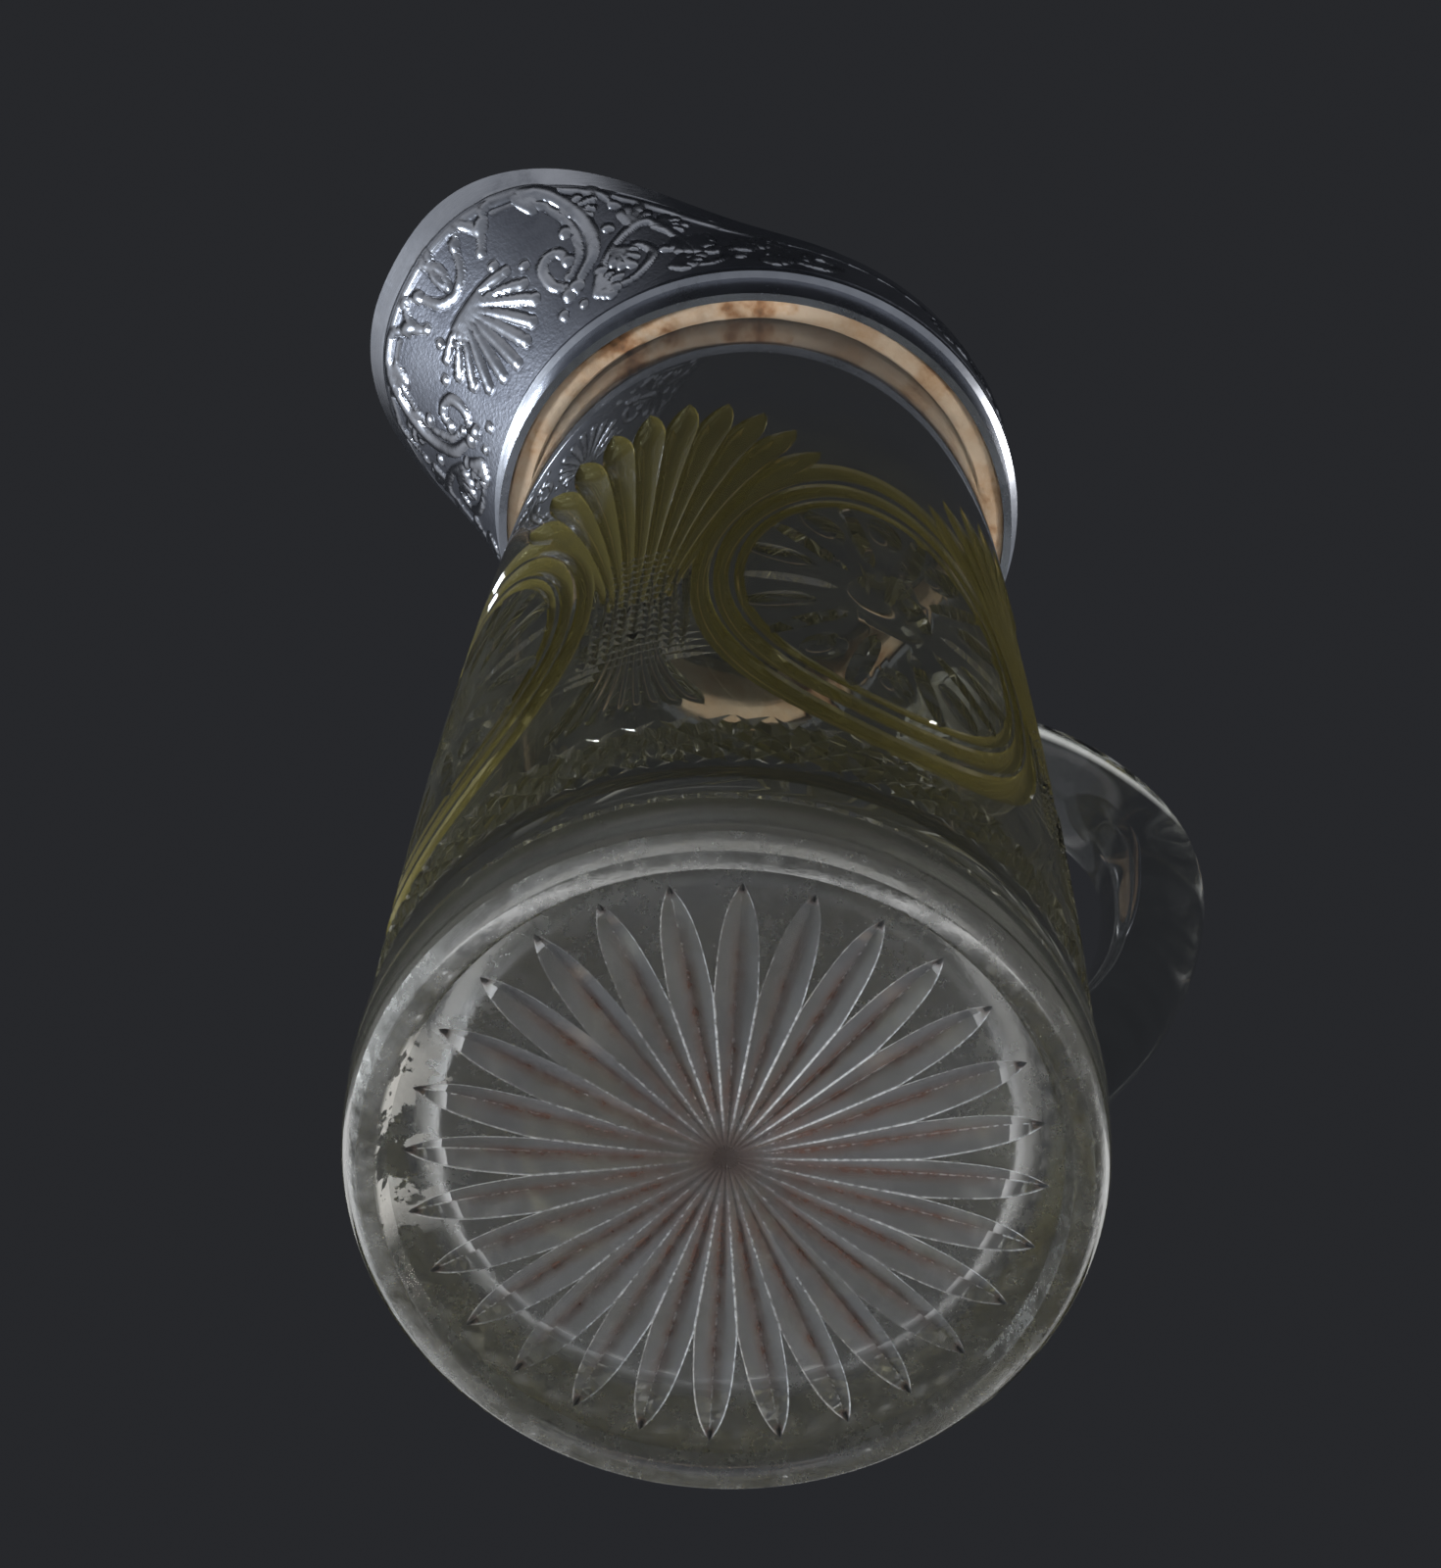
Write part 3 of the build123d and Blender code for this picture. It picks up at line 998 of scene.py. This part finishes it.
def cutBlades(piece, name, spec, ends, slot):
    # leaves side by side round the wall; ends(place) gives the root and the tip of each
    for count in range(spec["blades"]):
        root, tip = ends(count + 0.5 - spec["blades"] / 2)
        middle = between(root[0], tip[0], spec["lean"]), between(root[1], tip[1], spec["climb"])
        shape = leafShaped(spec["width"]), leafShaped(spec["depth"])
        tool = groove(name, bent(root, middle, tip), cutter["bladeCuts"], *shape, cutter["hollowSides"])
        cut(piece, allRound(tool, sectors), slot)


def cutLines(piece, name, spines, spec, count, slot):
    # mitre cuts that fall to nothing at both ends
    shape = pointed(spec["width"]), pointed(spec["depth"])
    tools = [groove(name, spine, spec["cuts"], *shape) for spine in spines]
    cut(piece, allRound(joined(tools), count), slot)


def cutFans(piece, values, slots):
    middle, fan, flare = values["fanTurn"], values["fan"], values["flare"]

    def fanEnds(place):
        turn = radians(fan["step"] * place)
        rootTurn = fan["root"][0] * place / ((fan["blades"] - 1) / 2)
        tip = (middle + fan["reach"][0] * sin(turn), fan["center"] + fan["reach"][1] * cos(turn))
        return (middle + rootTurn, fan["root"][1]), tip

    def flareEnds(place):
        return tuple((middle + flare[end][0] * place, flare[end][1]) for end in ("root", "tip"))

    cutBlades(piece, "fanBlade", fan, fanEnds, slots["stained"])
    print("fans cut")
    for ring in values["rings"]:
        tool = ringGroove("ringWheel", (0, values["medallionHeight"]), ring)
        cut(piece, allRound(tool, sectors), slots["stained"])
    cutBlades(piece, "flareBlade", flare, flareEnds, slots["plain"])
    print("rings and flares cut")


def cutMedallions(piece, values, slots):
    high, rays, ovals = values["medallionHeight"], values["rays"], values["ovals"]
    width, height = values["rings"][-1]["size"]
    spines = []
    for count in range(rays["count"]):
        turn = 2 * pi * count / rays["count"]
        aside, up = width * cos(turn), height * sin(turn)
        spines.append(straight(*((aside * rays[end], high + up * rays[end]) for end in ("from", "to"))))
    cutLines(piece, "rayWheel", spines, rays, sectors, slots["plain"])
    tools = []
    for count in range(ovals["count"]):
        turn = 2 * pi * (count + 0.5) / ovals["count"]
        aside, up = ovals["reach"][0] * cos(turn), ovals["reach"][1] * sin(turn)
        lean = atan2(up, aside * ovals["flatness"]) - pi / 2
        tools.append(hollow("ovalWheel", (aside, high + up), ovals, lean))
    cut(piece, allRound(joined(tools), sectors), slots["plain"])
    cut(piece, allRound(hollow("lensWheel", (0, high), values["lens"]), sectors), slots["clear"])
    print("medallions cut")


def cutHatching(piece, values, slots):
    middle, waist, band = values["fanTurn"], values["waist"], values["diamonds"]
    low, high = waist["low"], waist["high"]
    rows = []
    for count in range(waist["rows"]):
        height = between(low, high, count / (waist["rows"] - 1))
        ovalTurn, ovalRise = waist["oval"]
        half = middle - ovalTurn * sqrt(1 - ((height - values["medallionHeight"]) / ovalRise) ** 2)
        rows.append(straight((middle - half, height), (middle + half, height)))
    cutLines(piece, "hatchRow", rows, waist, sectors, slots["plain"])
    places = [2 * count / (waist["columns"] - 1) - 1 for count in range(waist["columns"])]
    turns = [middle + waist["spread"] * place for place in places]
    columns = [straight((turn, low), (turn, high)) for turn in turns]
    cutLines(piece, "hatchColumn", columns, waist, sectors, slots["plain"])
    lean = degrees((band["high"] - band["low"]) / jug["outside"][0][0]) / 2
    for way in (lean, -lean):
        spine = straight((-way, band["low"]), (way, band["high"]))
        cutLines(piece, "diamondWheel", [spine], band, band["count"], slots["plain"])
    print("hatching and diamonds cut")


def shadeByAngle(piece, angle):
    pick(piece)
    bpy.ops.object.shade_smooth_by_angle(angle=radians(angle))


def triangles(piece):
    return sum(len(face.vertices) - 2 for face in piece.data.polygons)


bodyFinishes = {
    "clear": wallGlass("bodyGlass", wallLook),
    "star": starFinish("starGlass", star, starLook),
    "stained": cutGlass("fanGlass", stains["fanOlive"], cutLook, roughness=0.03,
                        dirt=stains["fanHaze"], amount=0.42),
    "plain": cutGlass("plainCut", stains["cutGrey"], cutLook, roughness=0.02,
                      dirt=stains["wallHaze"], amount=0.10),
    "film": filmFinish("floorFilm", filmLook),
    "worn": wornFinish("wornRing", wornLook),
}
slots = {name: slot for slot, name in enumerate(bodyFinishes)}
glassBody = turnOnLathe("glassBody", bodyOutline(jug), jug["steps"])
for finish in bodyFinishes.values():
    glassBody.data.materials.append(finish)
cutStar(glassBody, star, slots["star"])
print("star cut:", triangles(glassBody), "triangles")
cutFans(glassBody, pattern, slots)
cutMedallions(glassBody, pattern, slots)
cutHatching(glassBody, pattern, slots)
print("wall cut:", triangles(glassBody), "triangles")

# What the blank keeps of its own faces at the floor inside and under the foot has its own finish
filmLow, filmHigh = jug["filmBand"]
for face in glassBody.data.polygons:
    height, reach = face.center.z / mm, face.center.xy.length / mm
    if face.material_index == slots["clear"]:
        if filmLow < height < filmHigh and reach < jug["filmRadius"]:
            face.material_index = slots["film"]
        elif height < jug["wornTop"]:
            face.material_index = slots["worn"]

shadeByAngle(glassBody, jug["creaseAngle"])
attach(glassBody, "root")
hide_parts("glass_body")

# The handle: a round rod of glass bent to its loop, pressed on to the wall while hot. Its corners
# are (reach, height), and the bends are the radii of the corners between its ends, all in mm
handle = {
    "corners": ((37.6, 172.1), (77.5, 196.0), (77.5, 124.0), (52.9, 66.4)),
    "bends": (18.0, 150.0),
    "spacing": 0.5,
    "easing": 0.10,
    "depth": 17.2,
    "width": 18.6,
    "squareness": 2.05,
    "slimming": 0.05,
    "slimStart": 0.4,
    "rootFlare": (0.06, 0.10),
    "endFlare": (0.08, 0.08),
    "roughness": 0.0,
    "sides": 40,
    "cuts": 110,
    "creaseAngle": 40,
}


def bentPath(corners, bends, spacing):
    # points along straight runs joined by tangent arcs
    points = [corners[0]]
    for before, corner, after, bend in zip(corners, corners[1:], corners[2:], bends):
        inward = (Vector(before) - Vector(corner)).normalized()
        outward = (Vector(after) - Vector(corner)).normalized()
        half = inward.angle(outward) / 2
        center = Vector(corner) + (inward + outward).normalized() * bend / sin(half)
        first = Vector(corner) + inward * bend / tan(half) - center
        last = Vector(corner) + outward * bend / tan(half) - center
        turn = first.angle_signed(last)
        count = max(round(bend * abs(turn) / spacing), 2)
        for step in range(count + 1):
            spot = Vector(first)
            spot.rotate(Matrix.Rotation(-turn * step / count, 2))
            points.append(tuple(center + spot))
    points.append(corners[-1])
    return points


def alongPath(points, share):
    # place and direction at a share of a path's length; the slack keeps rounding from passing its end
    slack = 0.001
    lengths = [(Vector(b) - Vector(a)).length for a, b in zip(points, points[1:])]
    left = share * sum(lengths)
    for start, end, length in zip(points, points[1:], lengths):
        if left <= length + slack:
            break
        left -= length
    run = (Vector(end) - Vector(start)).normalized()
    return Vector(start) + run * left, run


def superCircle(turn, power):
    # cosine and sine of a section that is slightly squarer than a circle
    return [abs(part) ** power * (1 if part > 0 else -1) for part in (cos(turn), sin(turn))]


def bendHandle(values):
    points = bentPath(values["corners"], values["bends"], values["spacing"])

    def placed(share, side):
        # the path is averaged over a stretch round each place, so that its bends come on softly
        ease = min(share, 1 - share, values["easing"])
        spots = [alongPath(points, share + ease * step / 4)[0] for step in range(-4, 5)]
        spot = sum(spots, Vector((0, 0))) / len(spots)
        run = (spots[-1] - spots[0]).normalized() if ease > 0.001 else alongPath(points, share)[1]
        size = 1 - values["slimming"] * sin(2 * pi * (share - values["slimStart"])) ** 2
        flares = ((share, values["rootFlare"]), (1 - share, values["endFlare"]))
        size *= 1 + sum(flare * max(1 - away / reach, 0) ** 2 for away, (flare, reach) in flares)
        outward, across = superCircle(2 * pi * side / values["sides"], 2 / values["squareness"])
        outward *= values["depth"] / 2 * size
        return spot.x + run.y * outward, across * values["width"] / 2 * size, spot.y - run.x * outward

    return rod("glassHandle", values["sides"], values["cuts"], placed)


glassHandle = bendHandle(handle)
handleGlass = cutGlass("handleGlass", stains["handleClear"], cutLook, handle["roughness"])
glassHandle.data.materials.append(handleGlass)
shadeByAngle(glassHandle, handle["creaseAngle"])
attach(glassHandle, "root")
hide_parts("glass_handle")
print("handle bent")

# The plaster bed: a ring with a rough, hand-smoothed lower edge
plaster = {
    "outline": ((39.9, 233.0), (39.9, 225.2), (40.3, 224.8), (41.825, 224.7), (43.35, 224.8), (43.75, 225.2),
                (43.75, 233.0), (39.9, 233.0)),
    "steps": 360,
    "edgeTop": 225.7,
    "roughness": 0.55,
    "swell": 0.5,
    "waves": ((7, 1, 0.2), (19, 2, 0.15), (47, 0, 0.1), (113, 0, 0.05)),
    "lumps": (0.4, 0.6, 1.3, 5),
    "creaseAngle": 40,
}


def castPlaster(values):
    ring = turnOnLathe("plasterRing", values["outline"], values["steps"])
    least, more, across, around = values["lumps"]
    for corner in ring.data.vertices:
        if corner.co.z < values["edgeTop"] * mm:
            turn = atan2(corner.co.y, corner.co.x)
            reach = corner.co.xy.length / mm - values["outline"][0][0]
            waves = sum(size * sin(count * turn + start) for count, start, size in values["waves"])
            lump = least + more * abs(sin(across * reach + around * turn))
            corner.co.z += values["roughness"] * (values["swell"] + waves) * lump * mm
    return recalculated(ring)


plasterRing = castPlaster(plaster)
plasterRing.data.materials.append(plasterFinish("stainedPlaster", plasterLook))
shadeByAngle(plasterRing, plaster["creaseAngle"])
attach(plasterRing, "root")
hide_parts("plaster_bed")
print("plaster cast")

# The spout collar: a shell of silver, chased with scrolls, a palmette, beads and leaves
spout = {
    "bottom": 233.0,
    "top": 263.5,
    "backRim": 246.0,
    "riseStart": 30.0,
    "lipSlope": 0.12,
    "rimRadius": 42.7,
    "footRadius": 45.2,
    "reach": 72.8,
    "halfAngle": 43.6,
    "roundness": 2.8,
    "stops": (0.0, 0.5393, 1.0787),
    "wall": 1.2,
    "sides": 720,
    "rows": 64,
    "rimRounds": 12,
    "rimSteps": 3601,
    "sink": 0.06,
    "creaseAngle": 60,
}
# The pattern is drawn in degrees from the middle of the spout and in shares of the collar's rise. A
# scroll is its points and its least and most half width in mm; a bead has a place and a half width, a
# leaf a place and a lean
chasing = {
    "center": 184.0,
    "height": 0.62,
    "margin": 0.6,
    "swell": (0.25, 1.1, 1.15),
    "shadeWidth": 0.55,
    "shadeFade": 2.2,
    "lineScale": (0.95, 30.0),
    "leafScale": (0.85, 30.5),
    "spacing": 0.35,
    "fewest": 6,
    "knobs": (1.1, 1.25),
    "fieldTop": (2.9, 1.2),
    "fieldBottom": (0.4, 0.8),
    "border": (4.2, 0.55, 0.5),
    "rimBand": (2.4, 1.0),
    "bulb": 0.85,
    "palmette": {
        "root": (-0.5, 0.53), "radius": (0.50, 0.85),
        "tips": ((9.5, 0.50), (11.0, 0.39), (11.5, 0.29), (8.5, 0.21), (5.0, 0.16), (0.5, 0.13), (-4.0, 0.16),
                 (-8.0, 0.20), (-10.0, 0.29), (-10.5, 0.39), (-9.5, 0.49)),
    },
    "scrolls": {
        "outerC": (((10.5, 0.78), (14.0, 0.86), (20.5, 0.80), (25.5, 0.58), (25.0, 0.36), (20.0, 0.22)),
                   (0.5, 0.95)),
        "innerC": (((13.0, 0.79), (18.5, 0.76), (23.0, 0.57), (22.8, 0.38), (19.5, 0.28)), (0.3, 0.5)),
        "curl": (((20.0, 0.22), (16.0, 0.28), (15.5, 0.40), (19.0, 0.44), (20.5, 0.37)), (0.45, 0.7)),
        "smile": (((-5.0, 0.78), (-3.2, 0.66), (0.0, 0.62), (3.2, 0.66), (5.0, 0.78)), (0.4, 0.7)),
        "ribbon": (((5.0, 0.78), (7.5, 0.84), (9.5, 0.74), (8.0, 0.66)), (0.4, 0.6)),
        "fern": (((0.0, 0.66), (0.8, 0.76), (-0.8, 0.86), (0.0, 0.93)), (0.4, 0.6)),
        "brow": (((4.0, 0.93), (10.0, 0.98), (18.0, 0.95), (26.0, 0.84), (31.0, 0.66)), (0.35, 0.6)),
        "stem": (((25.0, 0.20), (30.0, 0.40), (36.0, 0.54), (42.0, 0.40), (47.0, 0.24), (53.0, 0.30),
                  (58.0, 0.44)), (0.4, 0.7)),
        "tendril": (((27.5, 0.10), (33.0, 0.14), (36.5, 0.28), (33.5, 0.36), (31.5, 0.28)), (0.35, 0.6)),
        "loop": (((44.0, 0.12), (49.0, 0.10), (52.0, 0.20), (49.0, 0.28), (46.5, 0.20)), (0.35, 0.6)),
        "trail": (((58.0, 0.44), (63.0, 0.34), (68.0, 0.16), (74.0, 0.12), (77.0, 0.24), (73.0, 0.30)),
                  (0.4, 0.65)),
    },
    "beads": (((8.3, 0.56), 0.75), ((13.0, 0.46), 0.7), ((10.0, 0.76), 1.15), ((22.0, 0.53), 1.0),
              ((18.0, 0.20), 1.1), ((5.2, 0.80), 0.8), ((25.5, 0.24), 0.9), ((2.6, 0.90), 0.6),
              ((7.0, 0.93), 0.6), ((15.0, 0.12), 0.7), ((20.0, 0.11), 0.6), ((29.0, 0.50), 0.8),
              ((39.0, 0.30), 0.8), ((55.0, 0.18), 0.8)),
    "leaf": {"ribs": 5, "fan": 76, "length": 5.6, "shortening": 0.35, "radius": (0.32, 0.68)},
    "leaves": (((29.0, 0.36), 150), ((33.0, 0.50), 20), ((37.0, 0.50), 75), ((41.0, 0.40), 150),
               ((45.0, 0.28), 20), ((53.0, 0.30), 60), ((57.0, 0.42), 100), ((62.0, 0.34), 150),
               ((66.0, 0.20), 40), ((22.5, 0.62), 60), ((16.5, 0.80), 110), ((23.0, 0.12), 75),
               ((40.0, 0.13), 80), ((60.0, 0.12), 85)),
    "back": {
        "count": 9, "from": 76.0, "to": 284.0, "radius": (0.4, 0.75),
        "leafRise": 0.20, "leans": (-60, 10, 80),
        "scroll": ((-0.5, 0.10), (-0.2, 0.36), (0.12, 0.38), (0.26, 0.24), (0.10, 0.16), (0.02, 0.26)),
    },
}


def spoutPoint(turn, rise, growth=0.0):
    # a point of the outside of the collar, in mm; turn in degrees, rise from its foot to its lip
    values = spout
    stops = values["stops"]
    first = np.clip(np.searchsorted(stops, rise, side="right") - 1, 0, 1)
    low, high = np.take(stops, first), np.take(stops, first + 1)
    drop = values["footRadius"] - values["rimRadius"]
    backLow, backHigh = (values["rimRadius"] + drop * np.abs(1 - stop) ** 3 for stop in (low, high))
    back = between(backLow, backHigh, (rise - low) / (high - low)) + growth
    reach = between(values["footRadius"], values["reach"], rise) + growth
    bell = np.exp(-((np.abs(turn - 180) / values["halfAngle"]) ** values["roundness"]))
    radius = between(back, reach, bell)
    height = between(values["bottom"], values["top"], rise)
    return np.stack([radius * np.cos(np.radians(turn)), radius * np.sin(np.radians(turn)), height], -1)


def rimRise(turn):
    # how far up the collar its rim runs at each turn, found in rounds because the collar leans out
    values = spout
    span = values["riseStart"] + values["reach"]
    climb = values["top"] - values["backRim"]
    rise = np.full_like(turn, 0.5)
    for count in range(values["rimRounds"]):
        share = np.clip((values["riseStart"] - spoutPoint(turn, rise)[:, 0]) / span, 0, 1)
        height = climb * (3 * share**2 - 2 * share**3) + values["lipSlope"] * span * (share**3 - share**2)
        rise = (values["backRim"] + height - values["bottom"]) / (values["top"] - values["bottom"])
    return rise


def smoothRun(run, count):
    # a curve through the points of a run, as even steps of a Catmull-Rom spline
    points = [np.array(point, float) for point in (run[0], *run, run[-1])]
    spots = []
    for step in range(count + 1):
        place = step / count * (len(run) - 1)
        part = min(int(place), len(run) - 2)
        t = place - part
        a, b, c, d = points[part:part + 4]
        curve = (2 * a - 5 * b + 4 * c - d) * t**2 + (3 * b - a - 3 * c + d) * t**3
        spots.append(0.5 * (2 * b + (c - a) * t + curve))
    return spots


def drawnLine(run, radius, swell=0.6):
    # a raised line as a chain of round punches (turn, rise, radius), fullest at a share of its length
    around, upward = chasing["lineScale"]
    steps = [(around * (b[0] - a[0]), upward * (b[1] - a[1])) for a, b in zip(run, run[1:])]
    length = sum(sqrt(aside**2 + up**2) for aside, up in steps)
    count = max(round(length / chasing["spacing"]), chasing["fewest"])
    punches = []
    for step, spot in enumerate(smoothRun(run, count)):
        share = step / count
        rise = share / swell if share < swell else (1 - share) / (1 - swell)
        punches.append((*spot, between(*radius, sin(0.5 * pi * rise))))
    return punches


def chasedLeaf(root, lean, shape):
    # ribs that fan out from a root; lean is the leaf's direction in degrees from straight up
    around, upward = chasing["leafScale"]
    punches = []
    for rib in range(shape["ribs"]):
        place = 2 * rib / (shape["ribs"] - 1) - 1
        way = radians(lean + shape["fan"] * place / 2)
        length = shape["length"] * (1 - shape["shortening"] * abs(place))
        tip = (root[0] + sin(way) * length / around, root[1] + cos(way) * length / upward)
        punches += drawnLine((root, tip), shape["radius"], swell=0.75)
    return punches


def frontPunches(values):
    # one side of the pattern on the spout, from its middle round to the handle's side
    first, last = values["knobs"]
    punches = [(*spot, size) for spot, size in values["beads"]]
    for run, radius in values["scrolls"].values():
        punches += drawnLine(run, radius)
        punches += [(*run[0], radius[1] * first), (*run[-1], radius[1] * last)]
    for root, lean in values["leaves"]:
        punches += chasedLeaf(root, lean, values["leaf"])
    return punches


def backPunches(values):
    # scrolls with leaves that take turns in facing either way, round the back
    back = values["back"]
    span = (360 - (back["to"] - back["from"])) / back["count"]
    punches = []
    for count in range(back["count"]):
        middle = back["to"] + span * (count + 0.5) - values["center"]
        side = 1 if count % 2 else -1
        punches += drawnLine([(middle + side * span * x, y) for x, y in back["scroll"]], back["radius"])
        for lean in back["leans"]:
            leaf = chasedLeaf((middle, back["leafRise"]), lean, values["leaf"])
            punches += [(middle + side * (turn - middle), rise, size) for turn, rise, size in leaf]
    return punches


def chasingPunches(values):
    # every raised form of the pattern: (turn, rise, radius)
    palmette = values["palmette"]
    punches = backPunches(values)
    for tip in palmette["tips"]:
        punches += drawnLine((palmette["root"], tip), palmette["radius"], swell=0.8)
        punches.append((*tip, values["bulb"]))
    for side in (1, -1):
        punches += [(side * turn, rise, size) for turn, rise, size in frontPunches(values)]
    return punches


def raiseChasing(base, values):
    # how high the chasing stands at each point, from 0 to 1, and how deep the shade beside it is
    relief, shade = np.zeros(len(base)), np.zeros(len(base))
    least, slope, most = values["swell"]
    punches = np.array(chasingPunches(values))
    spots = spoutPoint(punches[:, 0] + values["center"], punches[:, 1])
    for spot, size in zip(spots, punches[:, 2]):
        near = np.abs(base[:, 2] - spot[2]) < size + values["margin"]
        gap = np.sqrt(((base[near] - spot) ** 2).sum(1))
        raised = np.sqrt(np.clip(1 - (gap / size) ** 2, 0, 1)) * min(least + size / slope, most)
        beside = np.clip(1 - np.abs(gap - size) / values["shadeWidth"], 0, 1)
        relief[near] = np.maximum(relief[near], raised)
        shade[near] = np.maximum(shade[near], beside)
    return relief, shade * (1 - np.clip(relief * values["shadeFade"], 0, 1))


def rimSpread(circle):
    # turns spread by the length of the rim, so that the spout has its share of them
    dense = np.linspace(0, 360, spout["rimSteps"])
    rim = spoutPoint(dense, rimRise(dense))
    lengths = np.concatenate([[0], np.cumsum(np.linalg.norm(np.diff(rim, axis=0), axis=1))])
    return np.interp(circle / 360 * lengths[-1], lengths, dense)


def outwardAt(turn, rise, base):
    # the direction that stands out from the collar
    upward = spoutPoint(turn, rise + 0.01) - spoutPoint(turn, rise - 0.01)
    around = spoutPoint(turn + 0.5, rise) - spoutPoint(turn - 0.5, rise)
    outward = np.cross(around, upward)
    outward /= np.linalg.norm(outward, axis=1)[:, None]
    return outward * np.sign((outward * (spoutPoint(turn, rise, 1.0) - base)).sum(1))[:, None]


def faded(distance, band):
    # 0 up to the start of a band and 1 past its end
    start, width = band
    return np.clip((distance - start) / width, 0, 1)


def chaseSpout(values, pattern):
    bpy.ops.mesh.primitive_cylinder_add(vertices=values["sides"], radius=1, depth=1, end_fill_type="NOTHING")
    shell = bpy.context.object
    shell.name = "spoutShell"
    splitAlong(shell, values["rows"] - 1)
    mesh = shell.data
    places = np.array([tuple(corner.co) for corner in mesh.vertices])
    turn = rimSpread((np.degrees(np.arctan2(places[:, 1], places[:, 0])) + 360) % 360)
    rimHeight = rimRise(turn)
    rise = (places[:, 2] + 0.5) * rimHeight
    climb = rise * (values["top"] - values["bottom"])
    drop = (rimHeight - rise) * (values["top"] - values["bottom"])

    base = spoutPoint(turn, rise, -values["sink"])
    relief, shade = raiseChasing(base, pattern)
    field = faded(drop, pattern["fieldTop"]) * faded(climb, pattern["fieldBottom"])
    place, half, height = pattern["border"]
    border = np.sqrt(np.clip(1 - ((drop - place) / half) ** 2, 0, 1)) * height
    relief = np.maximum(relief * field, border)
    outline = base + outwardAt(turn, rise, base) * (relief * pattern["height"])[:, None]
    for corner, spot in zip(mesh.vertices, outline):
        corner.co = Vector(spot) * mm
    polished = np.maximum(relief, 1 - faded(drop, pattern["rimBand"]))
    for name, heights in (("relief", polished), ("shade", shade * field)):
        own = mesh.attributes.new(name, "FLOAT", "POINT")
        own.data.foreach_set("value", heights)
    recalculated(shell)
    wall = shell.modifiers.new("wall", "SOLIDIFY")
    wall.thickness = values["wall"] * mm
    wall.offset = -1
    bpy.ops.object.modifier_apply(modifier=wall.name)
    return shell


spoutShell = chaseSpout(spout, chasing)
spoutShell.data.materials.append(silverFinish("chasedSilver", silver, True))
shadeByAngle(spoutShell, spout["creaseAngle"])
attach(spoutShell, "root")
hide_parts("spout_collar")
print("spout chased:", triangles(spoutShell), "triangles")

# The plain silver pieces keep their solids
silverLook = silverFinish("wornSilver", silver)
for nodeName in ("collar_band", "bead_wire", "ledge_ring", "rim_wire"):
    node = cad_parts[nodeName]
    node.data.materials.clear()
    node.data.materials.append(silverLook)
